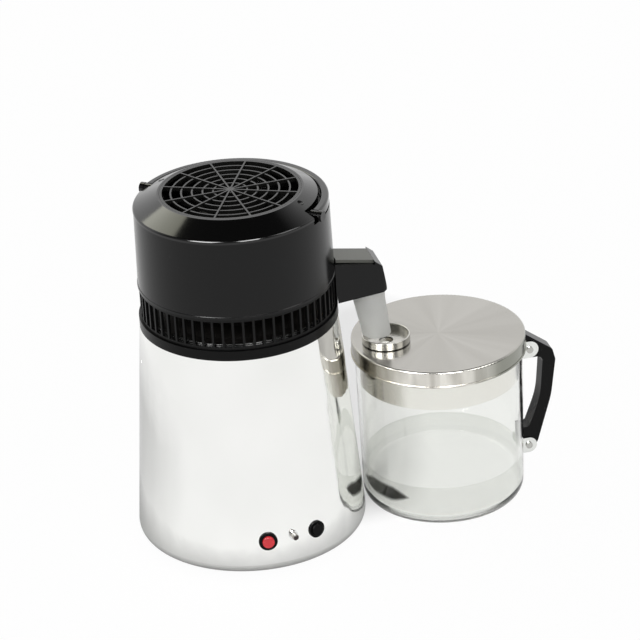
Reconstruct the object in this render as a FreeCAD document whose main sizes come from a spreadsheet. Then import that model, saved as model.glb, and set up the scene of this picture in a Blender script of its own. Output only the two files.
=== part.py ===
import FreeCAD
import Part
import Sketcher
import math
import os

# A counter-top water distiller: a steel boiler with a lift-off condenser head and a glass jug
# beside it. Millimetres. +Z is up, the bench is z = 0, +X runs from the boiler to the jug, and
# the origin is on the bench at the middle of the whole object.

SIZES = {
    # Boiler: its axis is vertical, and radii and heights below are measured from it.
    "casing_radius": 113.0,
    "casing_neck_radius": 95.8,
    "casing_bottom": 4.0,
    "casing_top": 226.9,
    "casing_heel_radius": 9.0,
    "casing_flange_width": 12.5,
    "sheet_thickness": 1.0,
    "collar_height": 9.7,
    "collar_skirt": 6.0,
    "collar_wall": 2.4,
    "pot_inset": 12.8,
    "pot_bottom": 52.0,
    "pot_corner_radius": 8.0,
    "pot_lip_width": 6.3,
    "pot_lip_height": 4.5,
    "pot_lip_wall": 2.3,
    "base_thickness": 2.5,
    "air_holes": 12,
    "foot_radius": 11.0,
    "foot_inset": 1.5,
    "foot_azimuth": -126.2,
    "foot_screw_radius": 1.8,
    "air_hole_circle": 32.0,
    "air_hole_radius": 3.5,
    "heater_inset": 13.0,
    "heater_plate_thickness": 5.0,
    "element_inset": 18.0,
    "element_gap_angle": 30.0,
    "element_tube_radius": 4.0,
    "element_pin_radius": 3.0,
    "element_pin_length": 16.0,
    "clamp_width": 18.0,
    "clamp_thickness": 2.0,
    "clamp_stud_radius": 3.0,
    "sensor_radius": 9.0,
    "sensor_height": 9.0,
    "sensor_offset": 28.0,
    "terminal_length": 40.0,
    "terminal_width": 18.0,
    "terminal_height": 14.0,
    # Controls low on the boiler's wall.
    "control_height": 38.3,
    "lamp_rise": 1.7,
    "control_azimuth": -81.2,
    "control_step_angle": 13.1,
    "start_radius": 5.8,
    "start_proud": 4.4,
    "start_travel": 3.0,
    "reset_radius": 6.3,
    "reset_proud": 3.6,
    "reset_travel": 2.5,
    "start_bezel_width": 3.0,
    "reset_bezel_width": 1.9,
    "bezel_proud": 1.5,
    "barrel_wall": 1.0,
    "barrel_depth": 16.0,
    "nut_width": 2.6,
    "nut_thickness": 3.0,
    "lamp_radius": 3.1,
    "lamp_proud": 8.0,
    "lamp_bezel_width": 1.4,
    "button_clearance": 0.3,
    "panel_clearance": 0.2,
    # Sockets on the far side.
    "socket_azimuth": 98.8,
    "socket_height": 40.0,
    "inlet_width": 27.0,
    "inlet_height": 20.0,
    "inlet_flange": 2.0,
    "inlet_depth": 20.0,
    "inlet_wall": 2.2,
    "inlet_pin_width": 2.2,
    "inlet_pin_length": 12.0,
    "inlet_pin_pitch": 7.0,
    "jack_radius": 4.5,
    "jack_bore_radius": 2.8,
    "jack_flange": 2.0,
    "jack_depth": 11.0,
    "fan_supply_drop": 26.9,
    "fan_jack_rise": 31.1,
    # Condenser head.
    "head_gap": 0.3,
    "plate_gap": 0.1,
    "vent_inset": 2.4,
    "vent_height": 32.0,
    "vent_wall": 3.0,
    "vent_hoop": 3.0,
    "vent_neck_height": 6.0,
    "vent_count": 60,
    "vent_slot_width": 7.6,
    "shell_proud": 0.8,
    "shell_taper": 1.4,
    "shell_lip": 0.5,
    "shell_lip_height": 2.4,
    "shell_wall": 2.6,
    "shell_height": 76.3,
    "channel_depth": 3.9,
    "channel_gap": 2.6,
    "channel_overrun_angle": 5.6,
    "notch_angle": 13.0,
    "ledge_thickness": 2.8,
    "ledge_width": 12.4,
    "cover_rise": 14.8,
    "cover_width": 25.3,
    "cover_rim": 2.0,
    "cover_edge_rise": 3.5,
    "cover_edge_radius": 2.4,
    "cover_wall": 2.6,
    "cover_screw_inset": 8.0,
    "cover_screw_radius": 1.5,
    "screw_post_radius": 3.9,
    "guard_thickness": 4.0,
    "guard_ring_drop": 0.8,
    "guard_bar_width": 1.6,
    "guard_rim_gap": 8.2,
    "guard_rings": 5,
    "guard_spokes": 12,
    "guard_hub_radius": 6.0,
    "guard_rim_width": 2.6,
    # Carry handle: a half ring that folds down round the head.
    "pivot_azimuth": -40.6,
    "pivot_radius": 2.5,
    "pivot_clearance": 0.06,
    "knob_gap": 0.36,
    "knob_radius": 5.2,
    "knob_length": 4.4,
    "bail_thickness": 7.6,
    "bail_gap": 0.9,
    "bail_height": 9.6,
    "bail_corner_radius": 2.0,
    "bail_inset": 2.0,
    "eye_radius": 4.7,
    # Fan, condenser and the plate over the pot.
    "gasket_thickness": 1.4,
    "gasket_width": 6.3,
    "dome_clearance": 0.5,
    "dome_rim_width": 10.5,
    "dome_slope_width": 16.0,
    "dome_rise": 5.8,
    "post_length": 60.1,
    "bracket_sheet": 2.0,
    "bracket_disc_radius": 36.0,
    "bracket_arm_width": 12.0,
    "bracket_azimuth": 60.0,
    "bracket_tab_height": 10.0,
    "post_radius": 3.0,
    "post_circle": 31.0,
    "motor_radius": 23.0,
    "motor_length": 30.0,
    "motor_boss_radius": 8.0,
    "motor_boss_height": 6.0,
    "shaft_radius": 2.5,
    "shaft_clearance": 0.05,
    "shaft_length": 34.0,
    "fan_gap": 4.0,
    "fan_hub_radius": 15.0,
    "fan_height": 16.0,
    "fan_tip_gap": 4.5,
    "blade_count": 6,
    "blade_chord": 18.0,
    "blade_thickness": 1.8,
    "coil_inset": 19.4,
    "coil_rise": 10.1,
    "coil_pitch": 14.0,
    "coil_turns": 3,
    "tube_radius": 4.0,
    "tube_wall": 0.8,
    "tube_bend_radius": 9.0,
    "tube_clearance": 0.1,
    "union_size": 12.0,
    "union_grip": 1.0,
    "steam_inset": 8.0,
    # Spout, from which the distillate drips.
    "spout_half_width": 18.0,
    "spout_wall": 1.9,
    "spout_corner_radius": 5.0,
    "spout_overhang": 9.2,
    "spout_shoulder_setback": 4.6,
    "spout_step_setback": 11.8,
    "spout_rise": 4.3,
    "spout_step_drop": 6.3,
    "spout_shoulder_drop": 8.7,
    "spout_front_drop": 35.0,
    "spout_bottom_drop": 42.2,
    "cap_half_width": 13.5,
    "cap_thickness": 3.3,
    "nozzle_lean": 6.0,
    "drip_offset": 9.3,
    "drip_height": 3.2,
    "nozzle_radius": 15.7,
    "nozzle_tip_radius": 14.0,
    "nozzle_rim_drop": 32.2,
    "nozzle_shoulder_drop": 49.2,
    "nozzle_wall": 1.2,
    "drip_hole_radius": 4.0,
    "filter_radius": 9.0,
    "filter_height": 18.0,
    # Jug: its axis is vertical too, and its radii are measured from that.
    "jug_gap": 3.6,
    "glass_foot_radius": 80.4,
    "glass_flare": 2.6,
    "glass_height": 168.0,
    "glass_heel_radius": 12.5,
    "glass_wall": 2.8,
    "glass_floor": 5.0,
    "lid_rise": 6.0,
    "lid_gap": 1.9,
    "lid_edge_radius": 1.8,
    "lid_skirt_height": 16.8,
    "lid_bead_depth": 0.7,
    "lid_bead_height": 2.0,
    "lid_sheet": 0.8,
    "lid_disc_extra": 0.4,
    "sleeve_gap": 1.6,
    "sleeve_length": 42.2,
    "seal_width": 2.8,
    "seal_gap": 0.3,
    "cup_offset": 52.5,
    "cup_radius": 23.6,
    "cup_height": 8.3,
    "cup_wall": 1.4,
    "cup_spigot_radius": 11.6,
    "cup_spigot_length": 4.0,
    "cup_drain_radius": 7.0,
    # Jug handle, in the plane of both axes.
    "handle_thickness": 16.0,
    "handle_overhang": 34.6,
    "handle_top_drop": 7.1,
    "handle_shoulder_drop": 27.5,
    "handle_shoulder_setback": 3.0,
    "handle_bend_height": 12.0,
    "handle_root_gap": 1.2,
    "handle_foot_gap": 2.5,
    "handle_arm_drop": 33.8,
    "grip_waist_height": 89.0,
    "grip_waist_setback": 5.2,
    "grip_waist_radius": 90.0,
    "grip_foot_height": 40.0,
    "grip_foot_setback": 19.8,
    "finger_gap_height": 57.0,
    "finger_gap_foot_setback": 29.0,
    "finger_gap_top_setback": 1.5,
    "handle_end_height": 31.5,
    "handle_end_setback": 25.0,
    "grip_depth": 11.5,
    "bracket_ear": 1.5,
    "bracket_gap": 0.2,
    "bracket_pad": 1.3,
    "upper_ear_drop": 24.0,
    "upper_ear_offset": 7.7,
    "upper_ear_radius": 9.0,
    "lower_ear_height": 37.0,
    "lower_ear_offset": 7.4,
    "lower_ear_radius": 8.2,
    "handle_screw_radius": 2.0,
    "handle_screw_head_radius": 3.4,
    "handle_screw_head_height": 1.5,
}


class Size:
    """A number together with the spreadsheet formula that gives it."""

    def __init__(self, value, formula):
        self.value = float(value)
        self.formula = formula

    def joined(self, sign, other, value):
        return Size(value, f"({self.formula} {sign} {as_size(other).formula})")

    def __add__(self, other):
        return self.joined("+", other, self.value + as_size(other).value)

    def __sub__(self, other):
        return self.joined("-", other, self.value - as_size(other).value)

    def __mul__(self, other):
        return self.joined("*", other, self.value * as_size(other).value)

    def __truediv__(self, other):
        return self.joined("/", other, self.value / as_size(other).value)

    def __radd__(self, other):
        return as_size(other) + self

    def __rsub__(self, other):
        return as_size(other) - self

    def __rmul__(self, other):
        return as_size(other) * self

    def __rtruediv__(self, other):
        return as_size(other) / self

    def __neg__(self):
        return as_size(0) - self


def as_size(value):
    return value if isinstance(value, Size) else Size(value, f"{value:g}")


def sin_of(angle):
    angle = as_size(angle)
    return Size(math.sin(math.radians(angle.value)), f"sin({angle.formula})")


def cos_of(angle):
    angle = as_size(angle)
    return Size(math.cos(math.radians(angle.value)), f"cos({angle.formula})")


def atan_of(ratio):
    return Size(math.degrees(math.atan(ratio.value)), f"(atan({ratio.formula}) / 1 deg)")


class Sheet:
    """The spreadsheet of driving dimensions, read by name as Size values."""

    def __init__(self, doc, sizes):
        sheet = doc.addObject("Spreadsheet::Sheet", "Sizes")
        for row, (name, value) in enumerate(sizes.items(), start=1):
            sheet.set(f"A{row}", name)
            sheet.set(f"B{row}", str(value))
            sheet.setAlias(f"B{row}", name)
        self.sizes = sizes

    def __getattr__(self, name):
        return Size(self.sizes[name], f"Sizes.{name}")


doc = FreeCAD.newDocument("water_distiller")
S = Sheet(doc, SIZES)
doc.recompute()
NODES = []

# Places that many pieces share, first those of the boiler and its head.
foot_circle = S.casing_radius - S.casing_flange_width - S.foot_radius - S.foot_inset
wall_slope = (S.casing_radius - S.casing_neck_radius) / (S.casing_top - S.casing_bottom)
wall_tilt = 90 - atan_of(wall_slope)
fan_supply_height = S.casing_top - S.fan_supply_drop
collar_top = S.casing_top + S.collar_height
pot_radius = S.casing_neck_radius - S.pot_inset
heater_radius = pot_radius - S.heater_inset
element_circle = heater_radius - S.element_inset
plate_seat = collar_top + S.sheet_thickness + S.plate_gap
plate_z = plate_seat + S.gasket_thickness
dome_edge = pot_radius + S.pot_lip_width - S.pot_lip_wall - S.dome_clearance
dome_radius = dome_edge - S.dome_rim_width - S.dome_slope_width
dome_crown = plate_z + S.dome_rise
dome_top = dome_crown + S.sheet_thickness
bracket_height = dome_top + S.post_length
steam_circle = dome_radius - S.steam_inset
vent_radius = S.casing_neck_radius - S.vent_inset
vent_foot = collar_top + S.head_gap
vent_top = vent_foot + S.vent_height
coil_radius = vent_radius - S.coil_inset
coil_bottom = dome_top + S.coil_rise
coil_top = coil_bottom + S.coil_pitch * S.coil_turns
shell_foot_radius = vent_radius + S.shell_proud
shell_top_radius = shell_foot_radius - S.shell_taper
shell_foot = vent_top + S.shell_lip_height + S.shell_lip
shell_top = vent_top + S.shell_height
shell_slope = (shell_foot_radius - shell_top_radius) / (shell_top - shell_foot)
fan_jack_height = vent_top + S.fan_jack_rise
bracket_reach = shell_top_radius - S.shell_wall
bail_outer_radius = shell_top_radius - S.panel_clearance
bail_inner_radius = bail_outer_radius - S.bail_thickness
channel_radius = bail_inner_radius - S.channel_gap
channel_floor = shell_top - S.channel_depth
pivot_height = channel_floor + S.bail_height / 2 + S.bail_gap
ledge_inner_radius = channel_radius - S.ledge_width
cover_screw_circle = channel_radius - S.cover_screw_inset
cover_opening = shell_top_radius - S.cover_width
cover_top = shell_top + S.cover_rise
cover_edge = shell_top + S.cover_edge_rise
fan_radius = cover_opening - S.fan_tip_gap

# The jug stands close beside the casing, and the spout reaches over to its cup.
glass_top_radius = S.glass_foot_radius + S.glass_flare
handle_reach = glass_top_radius + S.handle_overhang
jug_distance = S.casing_radius + S.glass_foot_radius + S.jug_gap
boiler_x = (S.casing_radius - jug_distance - handle_reach) / 2
jug_x = boiler_x + jug_distance
lid_radius = glass_top_radius + S.lid_gap + S.lid_sheet
lid_top = S.glass_height + S.lid_rise
skirt_low = lid_top - S.lid_skirt_height
sleeve_radius = glass_top_radius - S.glass_wall - S.sleeve_gap
handle_shoulder = S.glass_height - S.handle_shoulder_drop
handle_arm = S.glass_height - S.handle_arm_drop
upper_ear = (glass_top_radius + S.upper_ear_offset, S.glass_height - S.upper_ear_drop)
lower_ear = (S.glass_foot_radius + S.lower_ear_offset, S.lower_ear_height)
nozzle_tip_x = jug_distance - S.cup_offset - S.drip_offset
nozzle_tip_z = lid_top + S.cup_height + S.drip_height
nozzle_top_x = nozzle_tip_x - S.nozzle_lean
spout_reach = nozzle_tip_x + S.spout_overhang
spout_shoulder = spout_reach - S.spout_shoulder_setback
spout_step = spout_reach - S.spout_step_setback
spout_top = vent_top + S.spout_rise
spout_step_z = spout_top - S.spout_step_drop
spout_shoulder_z = spout_top - S.spout_shoulder_drop
spout_front = spout_top - S.spout_front_drop
spout_bottom = spout_top - S.spout_bottom_drop
nozzle_rim = spout_top - S.nozzle_rim_drop
nozzle_shoulder = spout_top - S.nozzle_shoulder_drop


# ---- Tools: binding, placing, sketching and joining ----

def bind(thing, prop, value):
    """Set a property, as a formula of the sheet where the value comes from it."""
    if isinstance(value, Size):
        thing.setExpression(prop, value.formula)
    else:
        setattr(thing, prop, value)


def place(thing, x=0, y=0, z=0, turn=0, tilt=0):
    """Tilt about Y, turn about Z, then move; every value may be a Size."""
    x, y, z, turn, tilt = (as_size(value).formula for value in (x, y, z, turn, tilt))
    spin = f"rotation(vector(0; 0; 1); {turn}) * rotation(vector(0; 1; 0); {tilt})"
    thing.setExpression("Placement", f"placement(vector({x}; {y}; {z}); {spin})")
    return thing


def node(thing, name):
    """Name a finished sub-part and list it for export."""
    thing.Label = name
    NODES.append(thing)
    return thing


def new_body():
    return doc.addObject("PartDesign::Body", "Body")


def sketch_on(body, plane, height=0):
    """An empty sketch on one of the body's own planes, moved along its normal."""
    sketch = body.newObject("Sketcher::SketchObject", "Sketch")
    support = [part for part in body.Origin.OriginFeatures if part.Role == plane][0]
    sketch.AttachmentSupport = [(support, "")]
    sketch.MapMode = "FlatFace"
    sketch.setExpression("AttachmentOffset.Base.z", as_size(height).formula)
    return sketch


def fix_point(sketch, geometry, position, x, y):
    for kind, value in (("DistanceX", as_size(x)), ("DistanceY", as_size(y))):
        rule = Sketcher.Constraint(kind, -1, 1, geometry, position, value.value)
        index = sketch.addConstraint(rule)
        sketch.setExpression(f"Constraints[{index}]", value.formula)


def fix_radius(sketch, geometry, radius):
    index = sketch.addConstraint(Sketcher.Constraint("Radius", geometry, as_size(radius).value))
    sketch.setExpression(f"Constraints[{index}]", as_size(radius).formula)


def draw_circle(sketch, x, y, radius):
    centre = FreeCAD.Vector(as_size(x).value, as_size(y).value, 0)
    circle = Part.Circle(centre, FreeCAD.Vector(0, 0, 1), as_size(radius).value)
    index = sketch.addGeometry(circle, False)
    fix_point(sketch, index, 3, x, y)
    fix_radius(sketch, index, radius)


def corner_arc(before, corner, after, radius):
    """The arc that rounds a corner: its two tangent points and its centre."""
    inward = (before - corner).normalize()
    outward = (after - corner).normalize()
    half = inward.getAngle(outward) / 2
    start = corner + inward * (radius / math.tan(half))
    end = corner + outward * (radius / math.tan(half))
    centre = corner + (inward + outward).normalize() * (radius / math.sin(half))
    return start, end, centre


def draw(sketch, outline, closed=True):
    """Draw straight lines through the outline's points (x, y) and rounded points (x, y, radius)."""
    spots = [FreeCAD.Vector(as_size(p[0]).value, as_size(p[1]).value, 0) for p in outline]
    count = len(spots)
    arcs = {}
    for i, point in enumerate(outline):
        if len(point) == 3:
            around = (spots[i - 1], spots[i], spots[(i + 1) % count])
            arcs[i] = corner_arc(*around, as_size(point[2]).value)
    lines = []
    for i in range(count if closed else count - 1):
        ahead = (i + 1) % count
        start = arcs[i][1] if i in arcs else spots[i]
        end = arcs[ahead][0] if ahead in arcs else spots[ahead]
        lines.append(sketch.addGeometry(Part.LineSegment(start, end), False))
    for i, point in enumerate(outline):
        if i in arcs:
            round_corner(sketch, lines[i - 1], lines[i], spots[i], point, arcs[i])
        elif closed or 0 < i < count - 1:
            sketch.addConstraint(Sketcher.Constraint("Coincident", lines[i - 1], 2, lines[i], 1))
            fix_point(sketch, lines[i], 1, point[0], point[1])
        else:
            fix_point(sketch, lines[min(i, count - 2)], 1 if i == 0 else 2, point[0], point[1])


def round_corner(sketch, line_in, line_out, spot, point, arc):
    """Join two lines with a tangent arc, and keep their meeting point where the outline has it."""
    start, end, centre = arc
    radius = (start - centre).Length
    angles = [math.atan2(p.y - centre.y, p.x - centre.x) for p in (start, end)]
    forward = (angles[1] - angles[0]) % (2 * math.pi) < math.pi
    first, last = angles if forward else reversed(angles)
    circle = Part.Circle(centre, FreeCAD.Vector(0, 0, 1), radius)
    curve = sketch.addGeometry(Part.ArcOfCircle(circle, first, last), False)
    at_start, at_end = (1, 2) if forward else (2, 1)
    sketch.addConstraint(Sketcher.Constraint("Tangent", line_in, 2, curve, at_start))
    sketch.addConstraint(Sketcher.Constraint("Tangent", curve, at_end, line_out, 1))
    fix_radius(sketch, curve, point[2])
    mark = sketch.addGeometry(Part.Point(spot), True)
    fix_point(sketch, mark, 1, point[0], point[1])
    sketch.addConstraint(Sketcher.Constraint("PointOnObject", mark, 1, line_in))
    sketch.addConstraint(Sketcher.Constraint("PointOnObject", mark, 1, line_out))


def revolve(body, outline, angle=360):
    """Turn an outline of (radius, height) points about the body's Z axis."""
    sketch = sketch_on(body, "XZ_Plane")
    draw(sketch, outline)
    turned = body.newObject("PartDesign::Revolution", "Revolution")
    turned.Profile = sketch
    turned.ReferenceAxis = (sketch, ["V_Axis"])
    bind(turned, "Angle", angle)
    return turned


def extrude(kind, body, sketch, length, side="One side", backwards=False):
    """Pad or pocket a sketch; a pocket goes against the sketch's normal unless backwards."""
    feature = body.newObject(f"PartDesign::{kind}", kind)
    feature.Profile = sketch
    bind(feature, "Length", length)
    feature.SideType = side
    feature.Reversed = backwards
    return feature


def repeat(body, feature, count):
    """Repeat a feature evenly round the body's Z axis."""
    axis = [part for part in body.Origin.OriginFeatures if part.Role == "Z_Axis"][0]
    pattern = body.newObject("PartDesign::PolarPattern", "PolarPattern")
    pattern.Originals = [feature]
    pattern.Axis = (axis, [""])
    pattern.Angle = 360
    bind(pattern, "Occurrences", count)
    body.Tip = pattern
    return pattern


def turned_part(outline, x=boiler_x, y=0, z=0, turn=0, tilt=0, angle=360):
    body = new_body()
    revolve(body, outline, angle)
    return place(body, x, y, z, turn, tilt)


def cylinder(radius, height, x=0, y=0, z=0, turn=0, tilt=0):
    thing = doc.addObject("Part::Cylinder", "Cylinder")
    bind(thing, "Radius", radius)
    bind(thing, "Height", height)
    return place(thing, x, y, z, turn, tilt)


def block(length, width, height, x=0, y=0, z=0, turn=0, tilt=0):
    """A box centred on its place in length and width, and standing on it."""
    turned_x = cos_of(turn) * cos_of(tilt) * (as_size(length) / 2)
    turned_y = sin_of(turn) * cos_of(tilt) * (as_size(length) / 2)
    sunk_z = sin_of(tilt) * (as_size(length) / 2)
    side_x = sin_of(turn) * (as_size(width) / 2)
    side_y = cos_of(turn) * (as_size(width) / 2)
    thing = doc.addObject("Part::Box", "Box")
    bind(thing, "Length", length)
    bind(thing, "Width", width)
    bind(thing, "Height", height)
    return place(thing, x - turned_x + side_x, y - turned_y - side_y, z + sunk_z, turn, tilt)


def fuse(*things):
    joined = doc.addObject("Part::MultiFuse", "Fuse")
    joined.Shapes = list(things)
    joined.Refine = True
    return joined


def cut(base, *tools):
    result = doc.addObject("Part::Cut", "Cut")
    result.Base = base
    result.Tool = tools[0] if len(tools) == 1 else fuse(*tools)
    result.Refine = True
    return result


def group(*things):
    """Several separate solids kept as one sub-part."""
    together = doc.addObject("Part::Compound", "Group")
    together.Links = list(things)
    return together


def pipe(path, plane, centre, start):
    """A tube swept along a path in the XZ plane, from a ring drawn on the plane where it starts."""
    body = new_body()
    ring = sketch_on(body, plane, start)
    draw_circle(ring, *centre, S.tube_radius)
    draw_circle(ring, *centre, S.tube_radius - S.tube_wall)
    spine = sketch_on(body, "XZ_Plane")
    draw(spine, path, closed=False)
    tube = body.newObject("PartDesign::AdditivePipe", "Pipe")
    tube.Profile = ring
    tube.Spine = spine
    return place(body, boiler_x)


def round_x(radius, azimuth):
    return boiler_x + radius * cos_of(azimuth)


def round_y(radius, azimuth):
    return radius * sin_of(azimuth)


def on_wall(azimuth, height):
    """The place on the casing's sloping wall, with local +Z pointing straight out of it."""
    radius = S.casing_radius - (height - S.casing_bottom) * wall_slope
    return {"x": round_x(radius, azimuth), "y": round_y(radius, azimuth), "z": height,
            "turn": azimuth, "tilt": wall_tilt}


def into_wall(azimuth, height, depth):
    """The same place, moved inward along the wall's normal."""
    spot = on_wall(azimuth, height)
    back = depth * sin_of(wall_tilt)
    return {**spot, "x": spot["x"] - back * cos_of(azimuth),
            "y": spot["y"] - back * sin_of(azimuth), "z": spot["z"] - depth * cos_of(wall_tilt)}


start_azimuth = S.control_azimuth - S.control_step_angle
reset_azimuth = S.control_azimuth + S.control_step_angle
lamp_height = S.control_height + S.lamp_rise
start_hole = S.start_radius + S.button_clearance + S.barrel_wall + S.panel_clearance
reset_hole = S.reset_radius + S.button_clearance + S.barrel_wall + S.panel_clearance
lamp_hole = S.lamp_radius + S.barrel_wall + S.panel_clearance
jack_hole = S.jack_radius + S.panel_clearance
wall_cut = 2 * S.casing_heel_radius


# ---- Boiler: casing, pot, heater and base ----

def outer_casing():
    """Spun steel cone with a rounded heel and an inward flange that carries the base plate."""
    neck, foot = S.casing_neck_radius, S.casing_radius
    inner_heel = S.casing_heel_radius - S.sheet_thickness
    flange = foot - S.casing_flange_width
    shell = turned_part([
        (flange, S.casing_bottom),
        (foot, S.casing_bottom, S.casing_heel_radius),
        (neck, S.casing_top),
        (neck - S.sheet_thickness, S.casing_top),
        (foot - S.sheet_thickness, S.casing_bottom + S.sheet_thickness, inner_heel),
        (flange, S.casing_bottom + S.sheet_thickness),
    ])
    holes = []
    for azimuth, height, radius in ((start_azimuth, S.control_height, start_hole),
                                    (reset_azimuth, S.control_height, reset_hole),
                                    (S.control_azimuth, lamp_height, lamp_hole)):
        holes.append(cylinder(radius, wall_cut, **into_wall(azimuth, height, wall_cut / 2)))
    spot = into_wall(S.socket_azimuth, fan_supply_height, wall_cut / 2)
    holes.append(cylinder(jack_hole, wall_cut, **spot))
    spot = into_wall(S.socket_azimuth, S.socket_height, wall_cut / 2)
    height = S.inlet_height + 2 * S.panel_clearance
    holes.append(block(height, S.inlet_width + 2 * S.panel_clearance, wall_cut, **spot))
    node(cut(shell, *holes), "outer_casing")


def boiling_pot():
    """Deep-drawn steel pot that hangs by its rolled lip on the collar."""
    wall = pot_radius - S.sheet_thickness
    lip = pot_radius + S.pot_lip_width
    node(turned_part([
        (0, S.pot_bottom),
        (pot_radius, S.pot_bottom, S.pot_corner_radius),
        (pot_radius, collar_top),
        (lip, collar_top),
        (lip, collar_top + S.pot_lip_height),
        (lip - S.pot_lip_wall, collar_top + S.pot_lip_height),
        (lip - S.pot_lip_wall, collar_top + S.sheet_thickness),
        (wall, collar_top + S.sheet_thickness),
        (wall, S.pot_bottom + S.sheet_thickness, S.pot_corner_radius - S.sheet_thickness),
        (0, S.pot_bottom + S.sheet_thickness),
    ]), "boiling_pot")


def casing_collar():
    """Moulded ring on the casing's top edge, with a skirt inside it and a seat for the pot."""
    outer = S.casing_neck_radius - S.panel_clearance
    skirt = S.casing_neck_radius - S.sheet_thickness - S.panel_clearance
    seat = pot_radius + S.panel_clearance
    under = collar_top - 2 * S.collar_wall
    node(turned_part([
        (seat, under),
        (skirt - S.collar_wall, under),
        (skirt - S.collar_wall, S.casing_top - S.collar_skirt),
        (skirt, S.casing_top - S.collar_skirt),
        (skirt, S.casing_top),
        (outer, S.casing_top),
        (outer, collar_top),
        (seat, collar_top),
    ]), "casing_collar")


def base_plate():
    """Plastic plate that closes the underside, with a ring of air holes."""
    body = new_body()
    floor = S.casing_bottom + S.sheet_thickness
    edge = S.casing_radius - S.casing_heel_radius - S.sheet_thickness
    revolve(body, [(0, floor), (edge, floor), (edge, floor + S.base_thickness),
                   (0, floor + S.base_thickness)])
    sketch = sketch_on(body, "XY_Plane", floor + S.base_thickness)
    draw_circle(sketch, S.air_hole_circle, 0, S.air_hole_radius)
    repeat(body, extrude("Pocket", body, sketch, S.base_thickness), S.air_holes)
    place(body, boiler_x)
    screws = []
    for azimuth in foot_azimuths():
        spot = (round_x(foot_circle, azimuth), round_y(foot_circle, azimuth), floor)
        screws.append(cylinder(S.foot_screw_radius, S.base_thickness, *spot))
    node(cut(body, *screws), "base_plate")


def foot_azimuths():
    return [S.foot_azimuth + quarter * 90 for quarter in range(4)]


def feet():
    """Four rubber feet, each held by a screw from below."""
    pads, screws = [], []
    top = S.casing_bottom + S.sheet_thickness
    head = 2 * S.foot_screw_radius
    for azimuth in foot_azimuths():
        x, y = round_x(foot_circle, azimuth), round_y(foot_circle, azimuth)
        recess = cylinder(head + S.button_clearance, top / 2, x, y, 0)
        pads.append(cut(cylinder(S.foot_radius, top, x, y, 0), recess,
                        cylinder(S.foot_screw_radius, top, x, y, 0)))
        shank = cylinder(S.foot_screw_radius, top / 2 + 2 * S.base_thickness, x, y, top / 2)
        cap = cylinder(head, S.foot_screw_radius, x, y, top / 2 - S.foot_screw_radius)
        screws.append(fuse(cap, shank))
    node(group(*pads), "rubber_feet")
    node(group(*screws), "foot_screws")


def heater():
    """Ring element clamped to a plate under the pot, with two thermal switches beside it."""
    plate_low = S.pot_bottom - S.heater_plate_thickness
    tube = S.element_tube_radius
    node(cylinder(heater_radius, S.heater_plate_thickness, boiler_x, 0, plate_low),
         "heater_plate")
    ring = doc.addObject("Part::Torus", "Torus")
    bind(ring, "Radius1", element_circle)
    bind(ring, "Radius2", tube)
    bind(ring, "Angle3", 360 - S.element_gap_angle)
    ring_z = plate_low - tube
    place(ring, boiler_x, 0, ring_z, 90 + S.element_gap_angle / 2)
    pins = []
    for side in (-1, 1):
        azimuth = 90 + side * (S.element_gap_angle / 2 + atan_of(tube / element_circle))
        x, y = round_x(element_circle, azimuth), round_y(element_circle, azimuth)
        pins.append(cylinder(S.element_pin_radius, S.element_pin_length, x, y,
                             ring_z - S.element_pin_length))
    node(fuse(ring, *pins), "heating_element")
    clamp_low = ring_z - tube - S.clamp_thickness
    bar = block(2 * element_circle + 4 * tube, S.clamp_width, S.clamp_thickness, boiler_x, 0, clamp_low)
    stud = cylinder(S.clamp_stud_radius, 2 * tube + S.clamp_thickness, boiler_x, 0, clamp_low)
    node(fuse(bar, stud), "heater_clamp")
    for name, side in (("thermostat", 1), ("thermal_cutout", -1)):
        node(cylinder(S.sensor_radius, S.sensor_height, boiler_x, side * S.sensor_offset,
                      plate_low - S.sensor_height), name)


def terminal_block():
    """Block on the base plate where the inlet, switches and heater are wired together."""
    floor = S.casing_bottom + S.sheet_thickness + S.base_thickness
    node(block(S.terminal_length, S.terminal_width, S.terminal_height, boiler_x, 0, floor),
         "terminal_block")


# ---- Controls and sockets ----

def bezel(name, inside, width, azimuth, height):
    """Flanged sleeve through the wall, closed at its inner end."""
    bore = inside + S.button_clearance
    barrel = bore + S.barrel_wall
    deep = as_size(0) - S.barrel_depth
    outline = [
        (0, deep), (barrel, deep), (barrel, S.panel_clearance / 2),
        (bore + width, S.panel_clearance / 2), (bore + width, S.bezel_proud),
        (bore, S.bezel_proud), (bore, deep + S.barrel_wall), (0, deep + S.barrel_wall),
    ]
    node(turned_part(outline, **on_wall(azimuth, height)), name)


def panel_nut(inside, azimuth):
    """Ring nut that clamps a bezel from inside the casing."""
    barrel = inside + S.button_clearance + S.barrel_wall
    top = as_size(0) - 2 * S.sheet_thickness
    low = top - S.nut_thickness
    outline = [(barrel, low), (barrel + S.nut_width, low), (barrel + S.nut_width, top), (barrel, top)]
    return turned_part(outline, **on_wall(azimuth, S.control_height))


def button(name, radius, proud, travel, azimuth):
    """Push button: a plunger in its bezel with room behind it to travel."""
    inner_end = S.barrel_wall - S.barrel_depth + travel + S.button_clearance
    outline = [(0, inner_end), (radius, inner_end), (radius, proud, proud / 4), (0, proud)]
    node(turned_part(outline, **on_wall(azimuth, S.control_height)), name)


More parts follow.
